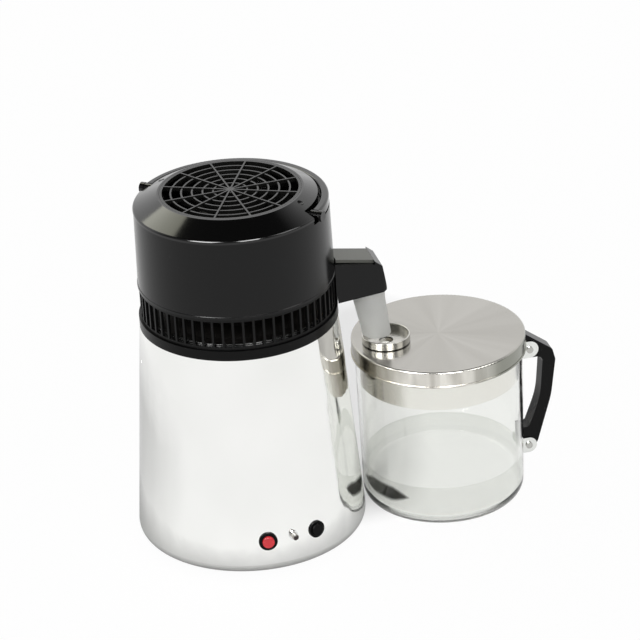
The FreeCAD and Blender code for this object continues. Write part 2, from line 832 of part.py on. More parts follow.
def controls():
    """Start button, pilot lamp and reset button in a row."""
    bezel("start_bezel", S.start_radius, S.start_bezel_width, start_azimuth, S.control_height)
    bezel("reset_bezel", S.reset_radius, S.reset_bezel_width, reset_azimuth, S.control_height)
    button("start_button", S.start_radius, S.start_proud, S.start_travel, start_azimuth)
    button("reset_button", S.reset_radius, S.reset_proud, S.reset_travel, reset_azimuth)
    node(group(panel_nut(S.start_radius, start_azimuth), panel_nut(S.reset_radius, reset_azimuth)),
         "panel_nuts")
    spot = on_wall(S.control_azimuth, lamp_height)
    ring = S.lamp_radius + S.lamp_bezel_width
    barrel = S.lamp_radius + S.barrel_wall
    deep = as_size(0) - S.barrel_depth
    flat = S.panel_clearance / 2
    node(turned_part([
        (S.lamp_radius, deep), (barrel, deep), (barrel, flat), (ring, flat),
        (ring, flat + S.barrel_wall), (S.lamp_radius, flat + S.barrel_wall),
    ], **spot), "pilot_bezel")
    node(turned_part([
        (0, deep), (S.lamp_radius, deep), (S.lamp_radius, S.lamp_proud, S.lamp_radius / 2),
        (0, S.lamp_proud),
    ], **spot), "pilot_lens")


def power_inlet():
    """Three-pin mains inlet: a flanged cup with its pins on the inner wall."""
    spot = on_wall(S.socket_azimuth, S.socket_height)
    deep = into_wall(S.socket_azimuth, S.socket_height, S.inlet_depth)
    cavity = into_wall(S.socket_azimuth, S.socket_height, S.inlet_depth - S.inlet_wall)
    rim = 4 * S.inlet_flange
    shell = fuse(
        block(S.inlet_height, S.inlet_width, S.inlet_depth, **deep),
        block(S.inlet_height + rim, S.inlet_width + rim, S.inlet_flange, **spot),
    )
    hollow = block(S.inlet_height - 2 * S.inlet_wall, S.inlet_width - 2 * S.inlet_wall,
                   S.inlet_depth + S.inlet_flange, **cavity)
    node(cut(shell, hollow), "power_inlet")
    pins = []
    for step in (-1, 0, 1):
        along = step * S.inlet_pin_pitch
        spot = {**cavity, "x": cavity["x"] - along * sin_of(S.socket_azimuth),
                "y": cavity["y"] + along * cos_of(S.socket_azimuth)}
        pins.append(block(S.inlet_pin_width, S.inlet_pin_width, S.inlet_pin_length, **spot))
    node(group(*pins), "inlet_pins")


def jack_outline():
    """Small round low-voltage socket, with its flange on the wall."""
    flange = S.jack_radius + S.jack_flange
    deep = as_size(0) - S.jack_depth
    lip = S.bezel_proud / 2
    return [
        (0, deep), (S.jack_radius, deep), (S.jack_radius, S.panel_clearance / 2),
        (flange, S.panel_clearance / 2), (flange, lip), (S.jack_bore_radius, lip),
        (S.jack_bore_radius, deep + S.barrel_wall), (0, deep + S.barrel_wall),
    ]


def head_wall(azimuth, height):
    """A place on the head's outer wall, with local +Z pointing straight out of it."""
    radius = shell_foot_radius - (height - shell_foot) * shell_slope
    return {"x": round_x(radius, azimuth), "y": round_y(radius, azimuth), "z": height,
            "turn": azimuth, "tilt": 90 - atan_of(shell_slope)}


def jacks():
    """The fan's supply socket on the boiler and the one that takes it on the head."""
    spot = on_wall(S.socket_azimuth, fan_supply_height)
    node(turned_part(jack_outline(), **spot), "fan_supply_jack")
    spot = head_wall(S.socket_azimuth, fan_jack_height)
    node(turned_part(jack_outline(), **spot), "fan_jack")


# ---- Condenser head ----

def vent_ring():
    """Ring of upright ribs that the condenser's warm air leaves through."""
    body = new_body()
    inside = vent_radius - S.vent_wall
    neck = inside - S.vent_hoop + S.sheet_thickness
    spigot = inside + S.barrel_wall / 2
    upper = vent_top - S.vent_hoop
    revolve(body, [
        (inside, vent_foot), (vent_radius, vent_foot), (vent_radius, vent_top),
        (spigot, vent_top), (spigot, vent_top + S.vent_neck_height),
        (neck, vent_top + S.vent_neck_height), (neck, upper), (inside, upper),
    ])
    low = vent_foot + S.vent_hoop
    half = S.vent_slot_width / 2
    sketch = sketch_on(body, "YZ_Plane", inside - S.vent_wall)
    draw(sketch, [(-half, low), (half, low), (half, upper), (-half, upper)])
    slot = extrude("Pocket", body, sketch, 3 * S.vent_wall, backwards=True)
    repeat(body, slot, S.vent_count)
    place(body, boiler_x)
    pipe_room = cylinder(S.tube_radius + S.panel_clearance, jug_distance, boiler_x, 0,
                         coil_bottom, 0, 90)
    node(cut(body, pipe_room), "vent_ring")


def handle_channel():
    """The space round the back half of the head that the folded carry handle lies in."""
    half_turn = 180 + 2 * S.channel_overrun_angle
    outer = S.casing_radius
    high = cover_top + S.ledge_thickness
    return turned_part([
        (channel_radius, channel_floor), (outer, channel_floor), (outer, high),
        (channel_radius, high),
    ], turn=S.pivot_azimuth - S.channel_overrun_angle, angle=half_turn)


def rim_notch(side):
    """Cutter that slopes the outer wall's rim down to the channel floor at one end of it."""
    middle = 90 + S.channel_overrun_angle - S.notch_angle / 2
    azimuth = S.pivot_azimuth + 90 + side * middle
    length = 2 * shell_top_radius * sin_of(S.notch_angle / 2)
    drop = shell_top - channel_floor
    radius = (bail_inner_radius + S.casing_radius) / 2
    return block(length, S.casing_radius - bail_inner_radius, 2 * drop, round_x(radius, azimuth),
                 round_y(radius, azimuth), channel_floor + drop / 2, azimuth + 90,
                 side * atan_of(drop / length))


def pivot_bore(radius, reach):
    """A cylinder along the carry handle's pivot axis, right through the head."""
    x, y = round_x(reach, S.pivot_azimuth), round_y(reach, S.pivot_azimuth)
    return cylinder(radius, 2 * reach, x, y, pivot_height, S.pivot_azimuth, -90)


def cover_screw_places():
    places = []
    for azimuth in (S.pivot_azimuth, S.pivot_azimuth + 180):
        places.append((round_x(cover_screw_circle, azimuth), round_y(cover_screw_circle, azimuth)))
    return places


def cover_z(radius):
    """Height of the cover's sloping top at a radius."""
    fall = (cover_top - cover_edge) / (shell_top_radius - cover_opening - S.cover_rim)
    return cover_top - (radius - cover_opening - S.cover_rim) * fall


def head_shell():
    """The head's outer wall, with the ledge and inner wall that the handle folds against."""
    lip = shell_foot_radius + S.shell_lip
    inner_foot = shell_foot_radius - S.shell_wall
    inner_top = shell_top_radius - S.shell_wall
    wall_out = channel_radius - S.panel_clearance
    wall_in = wall_out - S.shell_wall
    wall_top = cover_z(wall_in + S.shell_wall) - S.cover_wall - S.shell_lip
    ledge = channel_floor - S.ledge_thickness
    shell = turned_part([
        (inner_foot, vent_top), (lip, vent_top), (lip, vent_top + S.shell_lip_height),
        (shell_foot_radius, shell_foot),
        (shell_top_radius, shell_top), (inner_top, shell_top), (inner_top, channel_floor),
        (wall_out, channel_floor), (wall_out, wall_top), (wall_in, wall_top),
        (wall_in, channel_floor), (ledge_inner_radius, channel_floor),
        (ledge_inner_radius, ledge), (inner_top, ledge),
    ])
    posts, pilots = [], []
    post_top = cover_z(cover_screw_circle + S.screw_post_radius) - S.cover_wall - S.shell_lip
    for x, y in cover_screw_places():
        posts.append(cylinder(S.screw_post_radius, post_top - ledge, x, y, ledge))
        pilots.append(cylinder(S.cover_screw_radius, post_top - ledge, x, y, ledge + S.ledge_thickness))
    spot = head_wall(S.socket_azimuth, fan_jack_height)
    back = S.casing_heel_radius
    spot["x"] = spot["x"] - back * cos_of(S.socket_azimuth)
    spot["y"] = spot["y"] - back * sin_of(S.socket_azimuth)
    jack = cylinder(jack_hole, wall_cut, **spot)
    bore = pivot_bore(S.pivot_radius, wall_out + S.panel_clearance)
    room = [handle_channel(), rim_notch(-1), rim_notch(1)]
    node(cut(fuse(shell, *posts), *room, bore, jack, *pilots), "head_shell")


def top_cover():
    """Sloping ring that closes the head round the fan guard, cut back where the handle folds."""
    rim = cover_opening + S.cover_rim
    edge = shell_top_radius + S.shell_lip
    skirt = edge - S.shell_wall + S.shell_lip
    seat = cover_top - S.guard_thickness - S.panel_clearance
    ring = turned_part([
        (cover_opening, cover_top), (rim, cover_top, S.shell_lip),
        (edge, cover_z(edge), S.cover_edge_radius), (edge, shell_top + S.panel_clearance),
        (skirt, shell_top + S.panel_clearance), (skirt, cover_z(skirt) - S.cover_wall),
        (rim, cover_z(rim) - S.cover_wall), (cover_opening - S.cover_rim, seat - S.cover_rim),
        (cover_opening - S.cover_rim, seat), (cover_opening, seat),
    ])
    holes = []
    head = screw_seat()
    shank = S.cover_screw_radius + S.panel_clearance
    for x, y in cover_screw_places():
        holes.append(cylinder(shank, 2 * S.cover_wall + S.cover_rim, x, y, head - 2 * S.cover_wall))
        holes.append(cylinder(2 * S.cover_screw_radius, S.cover_wall + S.cover_rim, x, y, head))
    node(cut(ring, handle_channel(), *holes), "top_cover")


def screw_seat():
    """Height of the counterbore under a cover screw's head."""
    return cover_z(cover_screw_circle) - S.cover_wall / 2


def cover_screws():
    screws = []
    head = screw_seat()
    for x, y in cover_screw_places():
        shank = cylinder(S.cover_screw_radius, head - channel_floor, x, y, channel_floor)
        cap_radius = 2 * S.cover_screw_radius - S.panel_clearance
        screws.append(fuse(shank, cylinder(cap_radius, S.cover_screw_radius / 2, x, y, head)))
    node(group(*screws), "cover_screws")


def fan_guard():
    """Flat guard in the cover's opening: spokes that stand a little higher than its rings."""
    body = new_body()
    low = cover_top - S.guard_thickness
    outer = cover_opening - S.panel_clearance
    rim = outer - S.guard_rim_width
    pitch = (rim - S.guard_rim_gap - S.guard_hub_radius) / S.guard_rings
    half = S.guard_bar_width / 2
    sketch = sketch_on(body, "XY_Plane", low)
    reach = outer - half
    draw(sketch, [(0, -half), (reach, -half), (reach, half), (0, half)])
    spoke = extrude("Pad", body, sketch, S.guard_thickness)
    repeat(body, spoke, S.guard_spokes)
    rings = sketch_on(body, "XZ_Plane")
    draw(rings, [(rim, low), (outer, low), (outer, cover_top), (rim, cover_top)])
    ring_top = cover_top - S.guard_ring_drop
    for number in range(SIZES["guard_rings"] + 1):
        middle = S.guard_hub_radius + number * pitch
        draw(rings, [(middle - half, low), (middle + half, low), (middle + half, ring_top),
                     (middle - half, ring_top)])
    turned = body.newObject("PartDesign::Revolution", "Revolution")
    turned.Profile = rings
    turned.ReferenceAxis = (rings, ["V_Axis"])
    turned.Angle = 360
    body.Tip = turned
    node(place(body, boiler_x, turn=S.pivot_azimuth + 180 / S.guard_spokes), "fan_guard")


def condenser_plate():
    """Steel dome that covers the pot, with its gasket and the steam outlet."""
    sheet = S.sheet_thickness
    foot = dome_radius + S.dome_slope_width
    crown = dome_crown
    dome = turned_part([
        (0, crown), (dome_radius, crown), (foot, plate_z), (dome_edge, plate_z),
        (dome_edge, plate_z + sheet), (foot, plate_z + sheet), (dome_radius, crown + sheet),
        (0, crown + sheet),
    ])
    hole = cylinder(S.tube_radius + S.tube_clearance, 4 * sheet, boiler_x + steam_circle, 0,
                    crown - sheet)
    node(cut(dome, hole), "condenser_plate")
    outer = dome_edge - S.panel_clearance
    node(turned_part([
        (outer - S.gasket_width, plate_seat), (outer, plate_seat), (outer, plate_z),
        (outer - S.gasket_width, plate_z),
    ]), "plate_gasket")
    posts = []
    for azimuth in (0, 120, 240):
        posts.append(cylinder(S.post_radius, S.post_length, round_x(S.post_circle, azimuth),
                              round_y(S.post_circle, azimuth), dome_top))
    node(group(*posts), "plate_posts")


def motor_bracket():
    """Three-armed steel bracket across the head that the motor hangs from."""
    body = new_body()
    disc = sketch_on(body, "XY_Plane", bracket_height)
    draw_circle(disc, 0, 0, S.bracket_disc_radius)
    draw_circle(disc, 0, 0, S.motor_boss_radius + S.panel_clearance)
    extrude("Pad", body, disc, S.bracket_sheet)
    half = S.bracket_arm_width / 2
    start = S.motor_boss_radius + S.bracket_arm_width
    arm = sketch_on(body, "XY_Plane", bracket_height)
    draw(arm, [(start, -half), (bracket_reach, -half), (bracket_reach, half), (start, half)])
    repeat(body, extrude("Pad", body, arm, S.bracket_sheet), 3)
    tab = sketch_on(body, "XY_Plane", bracket_height - S.bracket_tab_height)
    inner = bracket_reach - S.bracket_sheet
    draw(tab, [(inner, -half), (bracket_reach, -half), (bracket_reach, half), (inner, half)])
    repeat(body, extrude("Pad", body, tab, S.bracket_tab_height), 3)
    node(place(body, boiler_x, turn=S.bracket_azimuth), "motor_bracket")


def fan():
    """Motor under the bracket, its shaft, and the fan on top."""
    top = bracket_height
    boss_top = top + S.motor_boss_height
    can = fuse(cylinder(S.motor_radius, S.motor_length, boiler_x, 0, top - S.motor_length),
               cylinder(S.motor_boss_radius, S.motor_boss_height, boiler_x, 0, top))
    shaft_low = boss_top - 2 * S.motor_boss_radius
    bore = cylinder(S.shaft_radius + S.shaft_clearance, 2 * S.motor_boss_radius, boiler_x, 0, shaft_low)
    node(cut(can, bore), "fan_motor")
    node(cylinder(S.shaft_radius, S.shaft_length, boiler_x, 0, shaft_low + S.shaft_radius),
         "fan_shaft")
    body = new_body()
    low = boss_top + S.fan_gap
    hub = S.fan_hub_radius
    revolve(body, [(S.shaft_radius, low), (hub, low), (hub, low + S.fan_height),
                   (S.shaft_radius, low + S.fan_height)])
    blade = sketch_on(body, "YZ_Plane", hub - S.blade_thickness)
    half = S.blade_chord / 2
    edge = S.blade_thickness
    rise = S.fan_height - 2 * edge
    foot = low + edge / 2
    draw(blade, [(-half, foot), (-half + edge, foot - edge / 4), (half, foot + rise),
                 (half - edge, foot + rise + edge / 4)])
    length = fan_radius - hub + S.blade_thickness
    repeat(body, extrude("Pad", body, blade, length), S.blade_count)
    node(place(body, boiler_x), "fan_blades")


def coil(radius):
    """Solid coil along the condenser tube's path with the given radius, in half turns."""
    half_turn = 0.5
    path = doc.addObject("Part::Helix", "Helix")
    bind(path, "Radius", coil_radius)
    bind(path, "Pitch", S.coil_pitch)
    bind(path, "Height", S.coil_pitch * S.coil_turns)
    path.SegmentLength = half_turn
    section = doc.addObject("Part::Circle", "Circle")
    bind(section, "Radius", radius)
    place(section, coil_radius, 0, 0, 90, 90)
    wound = doc.addObject("Part::Sweep", "Sweep")
    wound.Sections = [section]
    wound.Spine = (path, [""])
    wound.Solid = True
    wound.Frenet = True
    return place(wound, boiler_x, 0, coil_bottom)


def coil_union(z, side, tube_end, tube_tilt):
    """Brass block that joins one end of the coil, on the given side of it, to a straight tube."""
    size = S.union_size
    bore = S.tube_radius + S.tube_clearance
    x = boiler_x + coil_radius
    whole = block(size, size, size, x, side * (S.union_grip - size / 2), z - size / 2)
    coil_bore = cylinder(bore, size, x, -side * S.union_grip, z, side * 90, 90)
    tube_bore = cylinder(bore, size, boiler_x + tube_end, 0, z, 0, tube_tilt)
    return cut(whole, coil_bore, tube_bore)


def condenser():
    """Coiled steel tube with a brass union at each end, the steam riser and the outlet tube."""
    node(cut(coil(S.tube_radius), coil(S.tube_radius - S.tube_wall)), "condenser_coil")
    reach = S.union_size / 2 - S.union_grip
    outlet_end = coil_radius + reach
    steam_end = coil_radius - reach
    node(group(coil_union(coil_bottom, 1, outlet_end, 90), coil_union(coil_top, -1, steam_end, -90)),
         "coil_unions")
    node(pipe([(steam_circle, dome_crown), (steam_circle, coil_top, S.tube_bend_radius),
               (steam_end, coil_top)],
              "XY_Plane", (steam_circle, 0), dome_crown), "steam_pipe")
    node(pipe([(outlet_end, coil_bottom), (nozzle_top_x, coil_bottom, S.tube_bend_radius),
               (nozzle_top_x, nozzle_rim - S.tube_bend_radius)],
              "YZ_Plane", (0, coil_bottom), outlet_end), "outlet_pipe")


# ---- Carry handle ----

def carry_handle():
    """Half-ring handle with an eye at each end, folded down round the back of the head."""
    middle = pivot_height
    half = S.bail_height / 2
    low, high = middle - half, middle + half
    inset = atan_of(S.bail_inset / bail_inner_radius)
    corner = S.bail_corner_radius
    bow = turned_part([
        (bail_inner_radius, low, corner / 2), (bail_outer_radius, low, corner / 2),
        (bail_outer_radius, high, corner), (bail_inner_radius, high, corner),
    ], turn=S.pivot_azimuth + inset, angle=180 - 2 * inset)
    eyes = []
    for azimuth in (S.pivot_azimuth, S.pivot_azimuth + 180):
        x, y = round_x(bail_inner_radius, azimuth), round_y(bail_inner_radius, azimuth)
        eyes.append(cylinder(S.eye_radius, bail_outer_radius - bail_inner_radius, x, y, middle,
                             azimuth, 90))
    bore = pivot_bore(S.pivot_radius + S.pivot_clearance, S.casing_radius)
    node(cut(fuse(bow, *eyes), bore), "carry_handle")


def handle_pivots():
    """A shoulder screw with a round knob through each eye into the head's inner wall."""
    screws = []
    seat = channel_radius - S.shell_wall - S.panel_clearance
    knob = bail_outer_radius + S.knob_gap
    for azimuth in (S.pivot_azimuth, S.pivot_azimuth + 180):
        spot = (round_x(seat, azimuth), round_y(seat, azimuth), pivot_height, azimuth, 90)
        head = (round_x(knob, azimuth), round_y(knob, azimuth), pivot_height, azimuth, 90)
        screws.append(fuse(cylinder(S.pivot_radius, knob - seat, *spot),
                           cylinder(S.knob_radius, S.knob_length, *head)))
    node(group(*screws), "handle_pivots")


# ---- Spout ----

def spout_side(inset):
    """Side view of the spout's outline, drawn in by the given amount."""
    root = vent_radius - 2 * S.vent_wall - 4 * inset
    return [
        (root, spout_bottom + inset), (spout_shoulder, spout_front - S.spout_wall + inset),
        (spout_reach - inset, spout_front + inset),
        (spout_shoulder - inset, spout_shoulder_z - inset),
        (spout_step - inset, cap_z(spout_step) - inset), (spout_step - inset, spout_step_z - inset),
        (root, spout_top - inset),
    ]


def cap_z(x):
    """Height of the cap's sloping top at a distance from the boiler's axis."""
    fall = (spout_top - spout_step_z) / (spout_step - vent_radius)
    return spout_top + S.cap_thickness - (x - vent_radius) * fall


def spout_housing():
    """Hollow moulded spout, open towards the vent ring and holed below for the nozzle."""
    side = new_body()
    sketch = sketch_on(side, "XZ_Plane")
    draw(sketch, spout_side(as_size(0)))
    extrude("Pad", side, sketch, 2 * S.spout_half_width, "Symmetric")
    plan = new_body()
    sketch = sketch_on(plan, "XY_Plane", S.casing_top)
    wide = S.spout_half_width
    draw(sketch, [(coil_radius, -wide), (spout_reach, -wide, S.spout_corner_radius),
                  (spout_reach, wide, S.spout_corner_radius), (coil_radius, wide)])
    extrude("Pad", plan, sketch, S.vent_height * 2)
    outer = doc.addObject("Part::MultiCommon", "Common")
    outer.Shapes = [place(side, boiler_x), place(plan, boiler_x)]
    hollow = new_body()
    sketch = sketch_on(hollow, "XZ_Plane")
    draw(sketch, spout_side(S.spout_wall))
    extrude("Pad", hollow, sketch, 2 * (S.spout_half_width - S.spout_wall), "Symmetric")
    head_room = cylinder(shell_foot_radius + S.shell_lip + S.panel_clearance, S.vent_height * 2,
                         boiler_x, 0, S.casing_top)
    collar_room = cylinder(S.casing_neck_radius + S.head_gap + S.panel_clearance,
                           S.collar_height + S.vent_hoop, boiler_x, 0, S.casing_top - S.head_gap)
    nozzle_hole = cylinder(S.nozzle_radius + S.tube_clearance, S.vent_height,
                           boiler_x + nozzle_top_x, 0, S.casing_top)
    node(cut(outer, place(hollow, boiler_x), head_room, collar_room, nozzle_hole), "spout_housing")


def spout_cap():
    """Flat cap that lies in the step on top of the spout."""
    body = new_body()
    near = shell_foot_radius + S.shell_lip + S.button_clearance
    far = spout_step - S.panel_clearance
    sketch = sketch_on(body, "XZ_Plane")
    draw(sketch, [(near, cap_z(near) - S.cap_thickness), (far, cap_z(far) - S.cap_thickness),
                  (far, cap_z(far)), (near, cap_z(near))])
    extrude("Pad", body, sketch, 2 * S.cap_half_width, "Symmetric")
    place(body, boiler_x)
    room = cylinder(near, S.vent_height * 2, boiler_x, 0, S.casing_top)
    node(cut(body, room), "spout_cap")


def nozzle_side(inset, rim_z, tip_z):
    """The nozzle's leaning cone and the straight collar above it, drawn in by the given amount."""
    wide, narrow = S.nozzle_radius - inset, S.nozzle_tip_radius - inset
    rounds = []
    for radius, x, z in ((wide, nozzle_top_x, rim_z), (wide, nozzle_top_x, nozzle_shoulder),
                         (narrow, nozzle_tip_x, tip_z)):
        level = doc.addObject("Part::Circle", "Circle")
        bind(level, "Radius", radius)
        rounds.append(place(level, boiler_x + x, 0, z))
    solid = doc.addObject("Part::Loft", "Loft")
    solid.Sections = rounds
    solid.Solid = True
    solid.Ruled = True
    return solid


def nozzle():
    """Steel drip nozzle under the spout, with a charcoal filter standing in it."""
    wall = S.nozzle_wall
    outside = nozzle_side(as_size(0), nozzle_rim, nozzle_tip_z)
    inside = nozzle_side(wall, nozzle_rim + wall, nozzle_tip_z + wall)
    drip = cylinder(S.drip_hole_radius, 4 * wall, boiler_x + nozzle_tip_x, 0, nozzle_tip_z - wall)
    node(cut(outside, inside, drip), "drip_nozzle")
    lean = S.nozzle_tip_radius - wall - S.filter_radius - S.button_clearance
    node(cylinder(S.filter_radius, S.filter_height, boiler_x + nozzle_tip_x - lean, 0,
                  nozzle_tip_z + wall), "charcoal_filter")


# ---- Jug and lid ----

def glass_radius(z):
    """Outer radius of the glass at a height."""
    return S.glass_foot_radius + S.glass_flare / S.glass_height * z


def glass_jug():
    """Slightly tapered glass jug with a rounded heel."""
    wall = S.glass_wall
    node(turned_part([
        (0, 0), (S.glass_foot_radius, 0, S.glass_heel_radius), (glass_top_radius, S.glass_height),
        (glass_top_radius - wall, S.glass_height),
        (S.glass_foot_radius - wall, S.glass_floor, S.glass_heel_radius - wall), (0, S.glass_floor),
    ], x=jug_x), "glass_jug")


def jug_lid():
    """Pressed steel lid with a rolled skirt, an inner sleeve and a seal on the glass."""
    inside = lid_radius - S.lid_sheet
    under = lid_top - S.lid_sheet - S.lid_disc_extra
    bead = lid_radius + S.lid_bead_depth
    body = turned_part([
        (0, under), (inside, under), (inside, skirt_low), (bead, skirt_low, S.lid_bead_depth / 2),
        (bead, skirt_low + S.lid_bead_height, S.lid_bead_depth / 2),
        (lid_radius, skirt_low + S.lid_bead_height), (lid_radius, lid_top, S.lid_edge_radius),
        (0, lid_top),
    ], x=jug_x)
    hole = cylinder(S.cup_spigot_radius + S.button_clearance, 4 * S.lid_sheet, jug_x - S.cup_offset, 0,
                    lid_top - 3 * S.lid_sheet)
    node(cut(body, hole), "jug_lid")
    sleeve_low = under - S.sleeve_length
    node(turned_part([
        (sleeve_radius - S.lid_sheet, sleeve_low), (sleeve_radius, sleeve_low),
        (sleeve_radius, under), (sleeve_radius - S.lid_sheet, under),
    ], x=jug_x), "lid_sleeve")
    seal_low = S.glass_height + S.seal_gap
    seal = glass_top_radius + S.seal_gap
    node(turned_part([
        (seal - S.seal_width, seal_low), (seal, seal_low), (seal, under), (seal - S.seal_width, under),
    ], x=jug_x), "lid_seal")


def inlet_cup():
    """Shallow polished cup on the lid that catches the drips, with a drain into the jug."""
    floor = lid_top + S.cup_wall
    rim = lid_top + S.cup_height
    low = lid_top - S.cup_spigot_length
    node(turned_part([
        (S.cup_drain_radius, low), (S.cup_spigot_radius, low), (S.cup_spigot_radius, lid_top),
        (S.cup_radius, lid_top),
        (S.cup_radius, rim, S.cup_wall / 3), (S.cup_radius - S.cup_wall, rim, S.cup_wall / 3),
        (S.cup_radius - S.cup_wall, floor), (S.cup_drain_radius, floor),
    ], x=jug_x - S.cup_offset), "inlet_cup")


def jug_handle():
    """Handle with a grip that narrows the finger gap towards its foot."""
    body = new_body()
    reach, grip = handle_reach, S.grip_depth
    arm_top = skirt_low - 2 * S.lid_bead_depth
    lid_clear = lid_radius + 2 * S.lid_bead_depth
    root = glass_top_radius + S.handle_root_gap
    foot = S.glass_foot_radius + S.handle_foot_gap
    waist = reach - S.grip_waist_setback
    bend = S.grip_waist_radius
    sketch = sketch_on(body, "XZ_Plane")
    draw(sketch, [
        (root, handle_arm), (root, arm_top), (lid_clear, arm_top),
        (lid_clear, S.glass_height - S.handle_top_drop),
        (reach - S.handle_shoulder_setback, handle_shoulder, grip / 2),
        (reach, handle_shoulder - S.handle_bend_height, grip / 2),
        (waist, S.grip_waist_height, bend),
        (reach - S.grip_foot_setback, S.grip_foot_height, grip),
        (reach - S.handle_end_setback, S.handle_end_height, grip / 2), (foot, S.handle_end_height),
        (foot, S.finger_gap_height), (reach - S.finger_gap_foot_setback, S.finger_gap_height, grip / 4),
        (waist - grip, S.grip_waist_height, bend),
        (reach - S.finger_gap_top_setback - grip, handle_arm, grip / 2),
    ])
    extrude("Pad", body, sketch, S.handle_thickness, "Symmetric")
    place(body, jug_x)
    ears = (upper_ear, lower_ear)
    holes = [side_bore(S.handle_screw_radius, S.handle_thickness, *ear) for ear in ears]
    node(cut(body, *holes), "jug_handle")


def side_bore(radius, length, x, z):
    """A cylinder along Y, centred on the handle's middle plane."""
    return cylinder(radius, length, jug_x + x, as_size(0) - length / 2, z, 90, 90)


def handle_bracket(name, x, z, radius):
    """Steel fork: a pad against the glass and an ear on each side of the handle."""
    inner = S.handle_thickness + 2 * S.bracket_gap
    outer = inner + 2 * S.bracket_ear
    glass = glass_radius(z + radius) + S.tube_clearance
    root = glass - radius / 2
    plate = block(x - root, outer, 2 * radius, jug_x + (root + x) / 2, 0, z - radius)
    ends = side_bore(radius, outer, x, z)
    room = cylinder(glass, 4 * radius, jug_x, 0, z - 2 * radius)
    slot = block(4 * radius, inner, 4 * radius, jug_x + glass + S.bracket_pad + 2 * radius, 0,
                 z - 2 * radius)
    hole = side_bore(S.handle_screw_radius, 2 * outer, x, z)
    node(cut(fuse(plate, ends), room, slot, hole), name)


def handle_screws():
    """A screw across each fork, with a round head on both sides."""
    screws = []
    width = S.handle_thickness + 2 * S.bracket_gap + 2 * S.bracket_ear
    for x, z in (upper_ear, lower_ear):
        over_heads = width + 2 * S.handle_screw_head_height
        ends = cut(side_bore(S.handle_screw_head_radius, over_heads, x, z),
                   side_bore(2 * S.handle_screw_head_radius, width, x, z))
        screws.append(fuse(side_bore(S.handle_screw_radius, width, x, z), ends))
    node(group(*screws), "handle_screws")


outer_casing()
boiling_pot()
casing_collar()
base_plate()
feet()
heater()
terminal_block()
controls()
power_inlet()
jacks()
vent_ring()
head_shell()
top_cover()
cover_screws()
fan_guard()
condenser_plate()
motor_bracket()
fan()
condenser()
carry_handle()
handle_pivots()
spout_housing()
spout_cap()
nozzle()
glass_jug()
jug_lid()
inlet_cup()
jug_handle()
handle_bracket("upper_bracket", *upper_ear, S.upper_ear_radius)
handle_bracket("lower_bracket", *lower_ear, S.lower_ear_radius)
handle_screws()

doc.recompute()
for thing in doc.Objects:
    if {"Invalid", "Error"} & set(thing.State):
        raise RuntimeError(f"{thing.Name} ({thing.Label}) failed: {thing.State}")
for thing in NODES:
    if thing.Shape.isNull() or not thing.Shape.isValid():
        raise RuntimeError(f"{thing.Label} has no valid shape")

os.makedirs("parts", exist_ok=True)
for thing in NODES:
    thing.Shape.exportStep(f"parts/{thing.Label}.step")
    print(f"{thing.Label}: {len(thing.Shape.Solids)} solids, {thing.Shape.Volume:.0f} mm3")
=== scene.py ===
import math

import bmesh
import bpy
from mathutils import Matrix, Vector


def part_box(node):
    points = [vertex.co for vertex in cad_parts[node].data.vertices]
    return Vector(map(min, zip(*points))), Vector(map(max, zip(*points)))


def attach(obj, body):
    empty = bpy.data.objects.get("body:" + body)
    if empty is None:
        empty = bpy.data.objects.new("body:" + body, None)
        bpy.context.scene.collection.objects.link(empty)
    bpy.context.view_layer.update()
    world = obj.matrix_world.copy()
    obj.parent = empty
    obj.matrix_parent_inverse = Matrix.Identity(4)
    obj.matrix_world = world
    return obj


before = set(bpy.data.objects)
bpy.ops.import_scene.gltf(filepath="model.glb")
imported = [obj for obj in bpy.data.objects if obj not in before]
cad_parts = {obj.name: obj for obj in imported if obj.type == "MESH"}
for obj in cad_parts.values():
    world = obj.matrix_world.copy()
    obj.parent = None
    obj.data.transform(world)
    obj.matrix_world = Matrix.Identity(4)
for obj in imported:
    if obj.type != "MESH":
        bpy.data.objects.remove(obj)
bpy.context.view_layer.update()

# ---- Where things stand --------------------------------------------------------------------
# The boiler and the jug are both round and upright, so most of the still is placed from
# their two axes. Most heights come from the pieces themselves.


def middle_of(node):
    """The middle of a part's box."""
    low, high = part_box(node)
    return (Vector(low) + Vector(high)) / 2


def axis_through(node):
    """The point on the bench below a round part's middle."""
    return middle_of(node).xy.to_3d()


boiler_axis = axis_through("casing_collar")
jug_axis = axis_through("lid_sleeve")


# ---- Camera --------------------------------------------------------------------------------
# A long lens from a little above, turned so that the jug stands to the right of the boiler,
# and rolled a few degrees.

view_azimuth = math.radians(-12.602)
view_elevation = math.radians(26.62)
view_roll = math.radians(-3.27)
view_distance = 2.96458
view_aim = boiler_axis + Vector((0.07565, -0.01691, 0.21677))
view_reach = 30
frame_pixels = 640
focal_pixels = 3079.55
sensor_mm = 36

back = Vector((math.sin(view_azimuth) * math.cos(view_elevation),
               -math.cos(view_azimuth) * math.cos(view_elevation),
               math.sin(view_elevation)))
level_right = (-back).cross(Vector((0, 0, 1))).normalized()
level_up = level_right.cross(-back)
right = level_right * math.cos(view_roll) + level_up * math.sin(view_roll)
up = level_up * math.cos(view_roll) - level_right * math.sin(view_roll)

lens = bpy.data.cameras.new("camera")
lens.sensor_width = sensor_mm
lens.lens = focal_pixels / frame_pixels * sensor_mm
lens.clip_end = view_reach
camera = bpy.data.objects.new("camera", lens)
camera.matrix_world = Matrix((
    (right.x, up.x, back.x, view_aim.x + back.x * view_distance),
    (right.y, up.y, back.y, view_aim.y + back.y * view_distance),
    (right.z, up.z, back.z, view_aim.z + back.z * view_distance),
    (0, 0, 0, 1)))
bpy.context.scene.collection.objects.link(camera)
bpy.context.scene.camera = camera


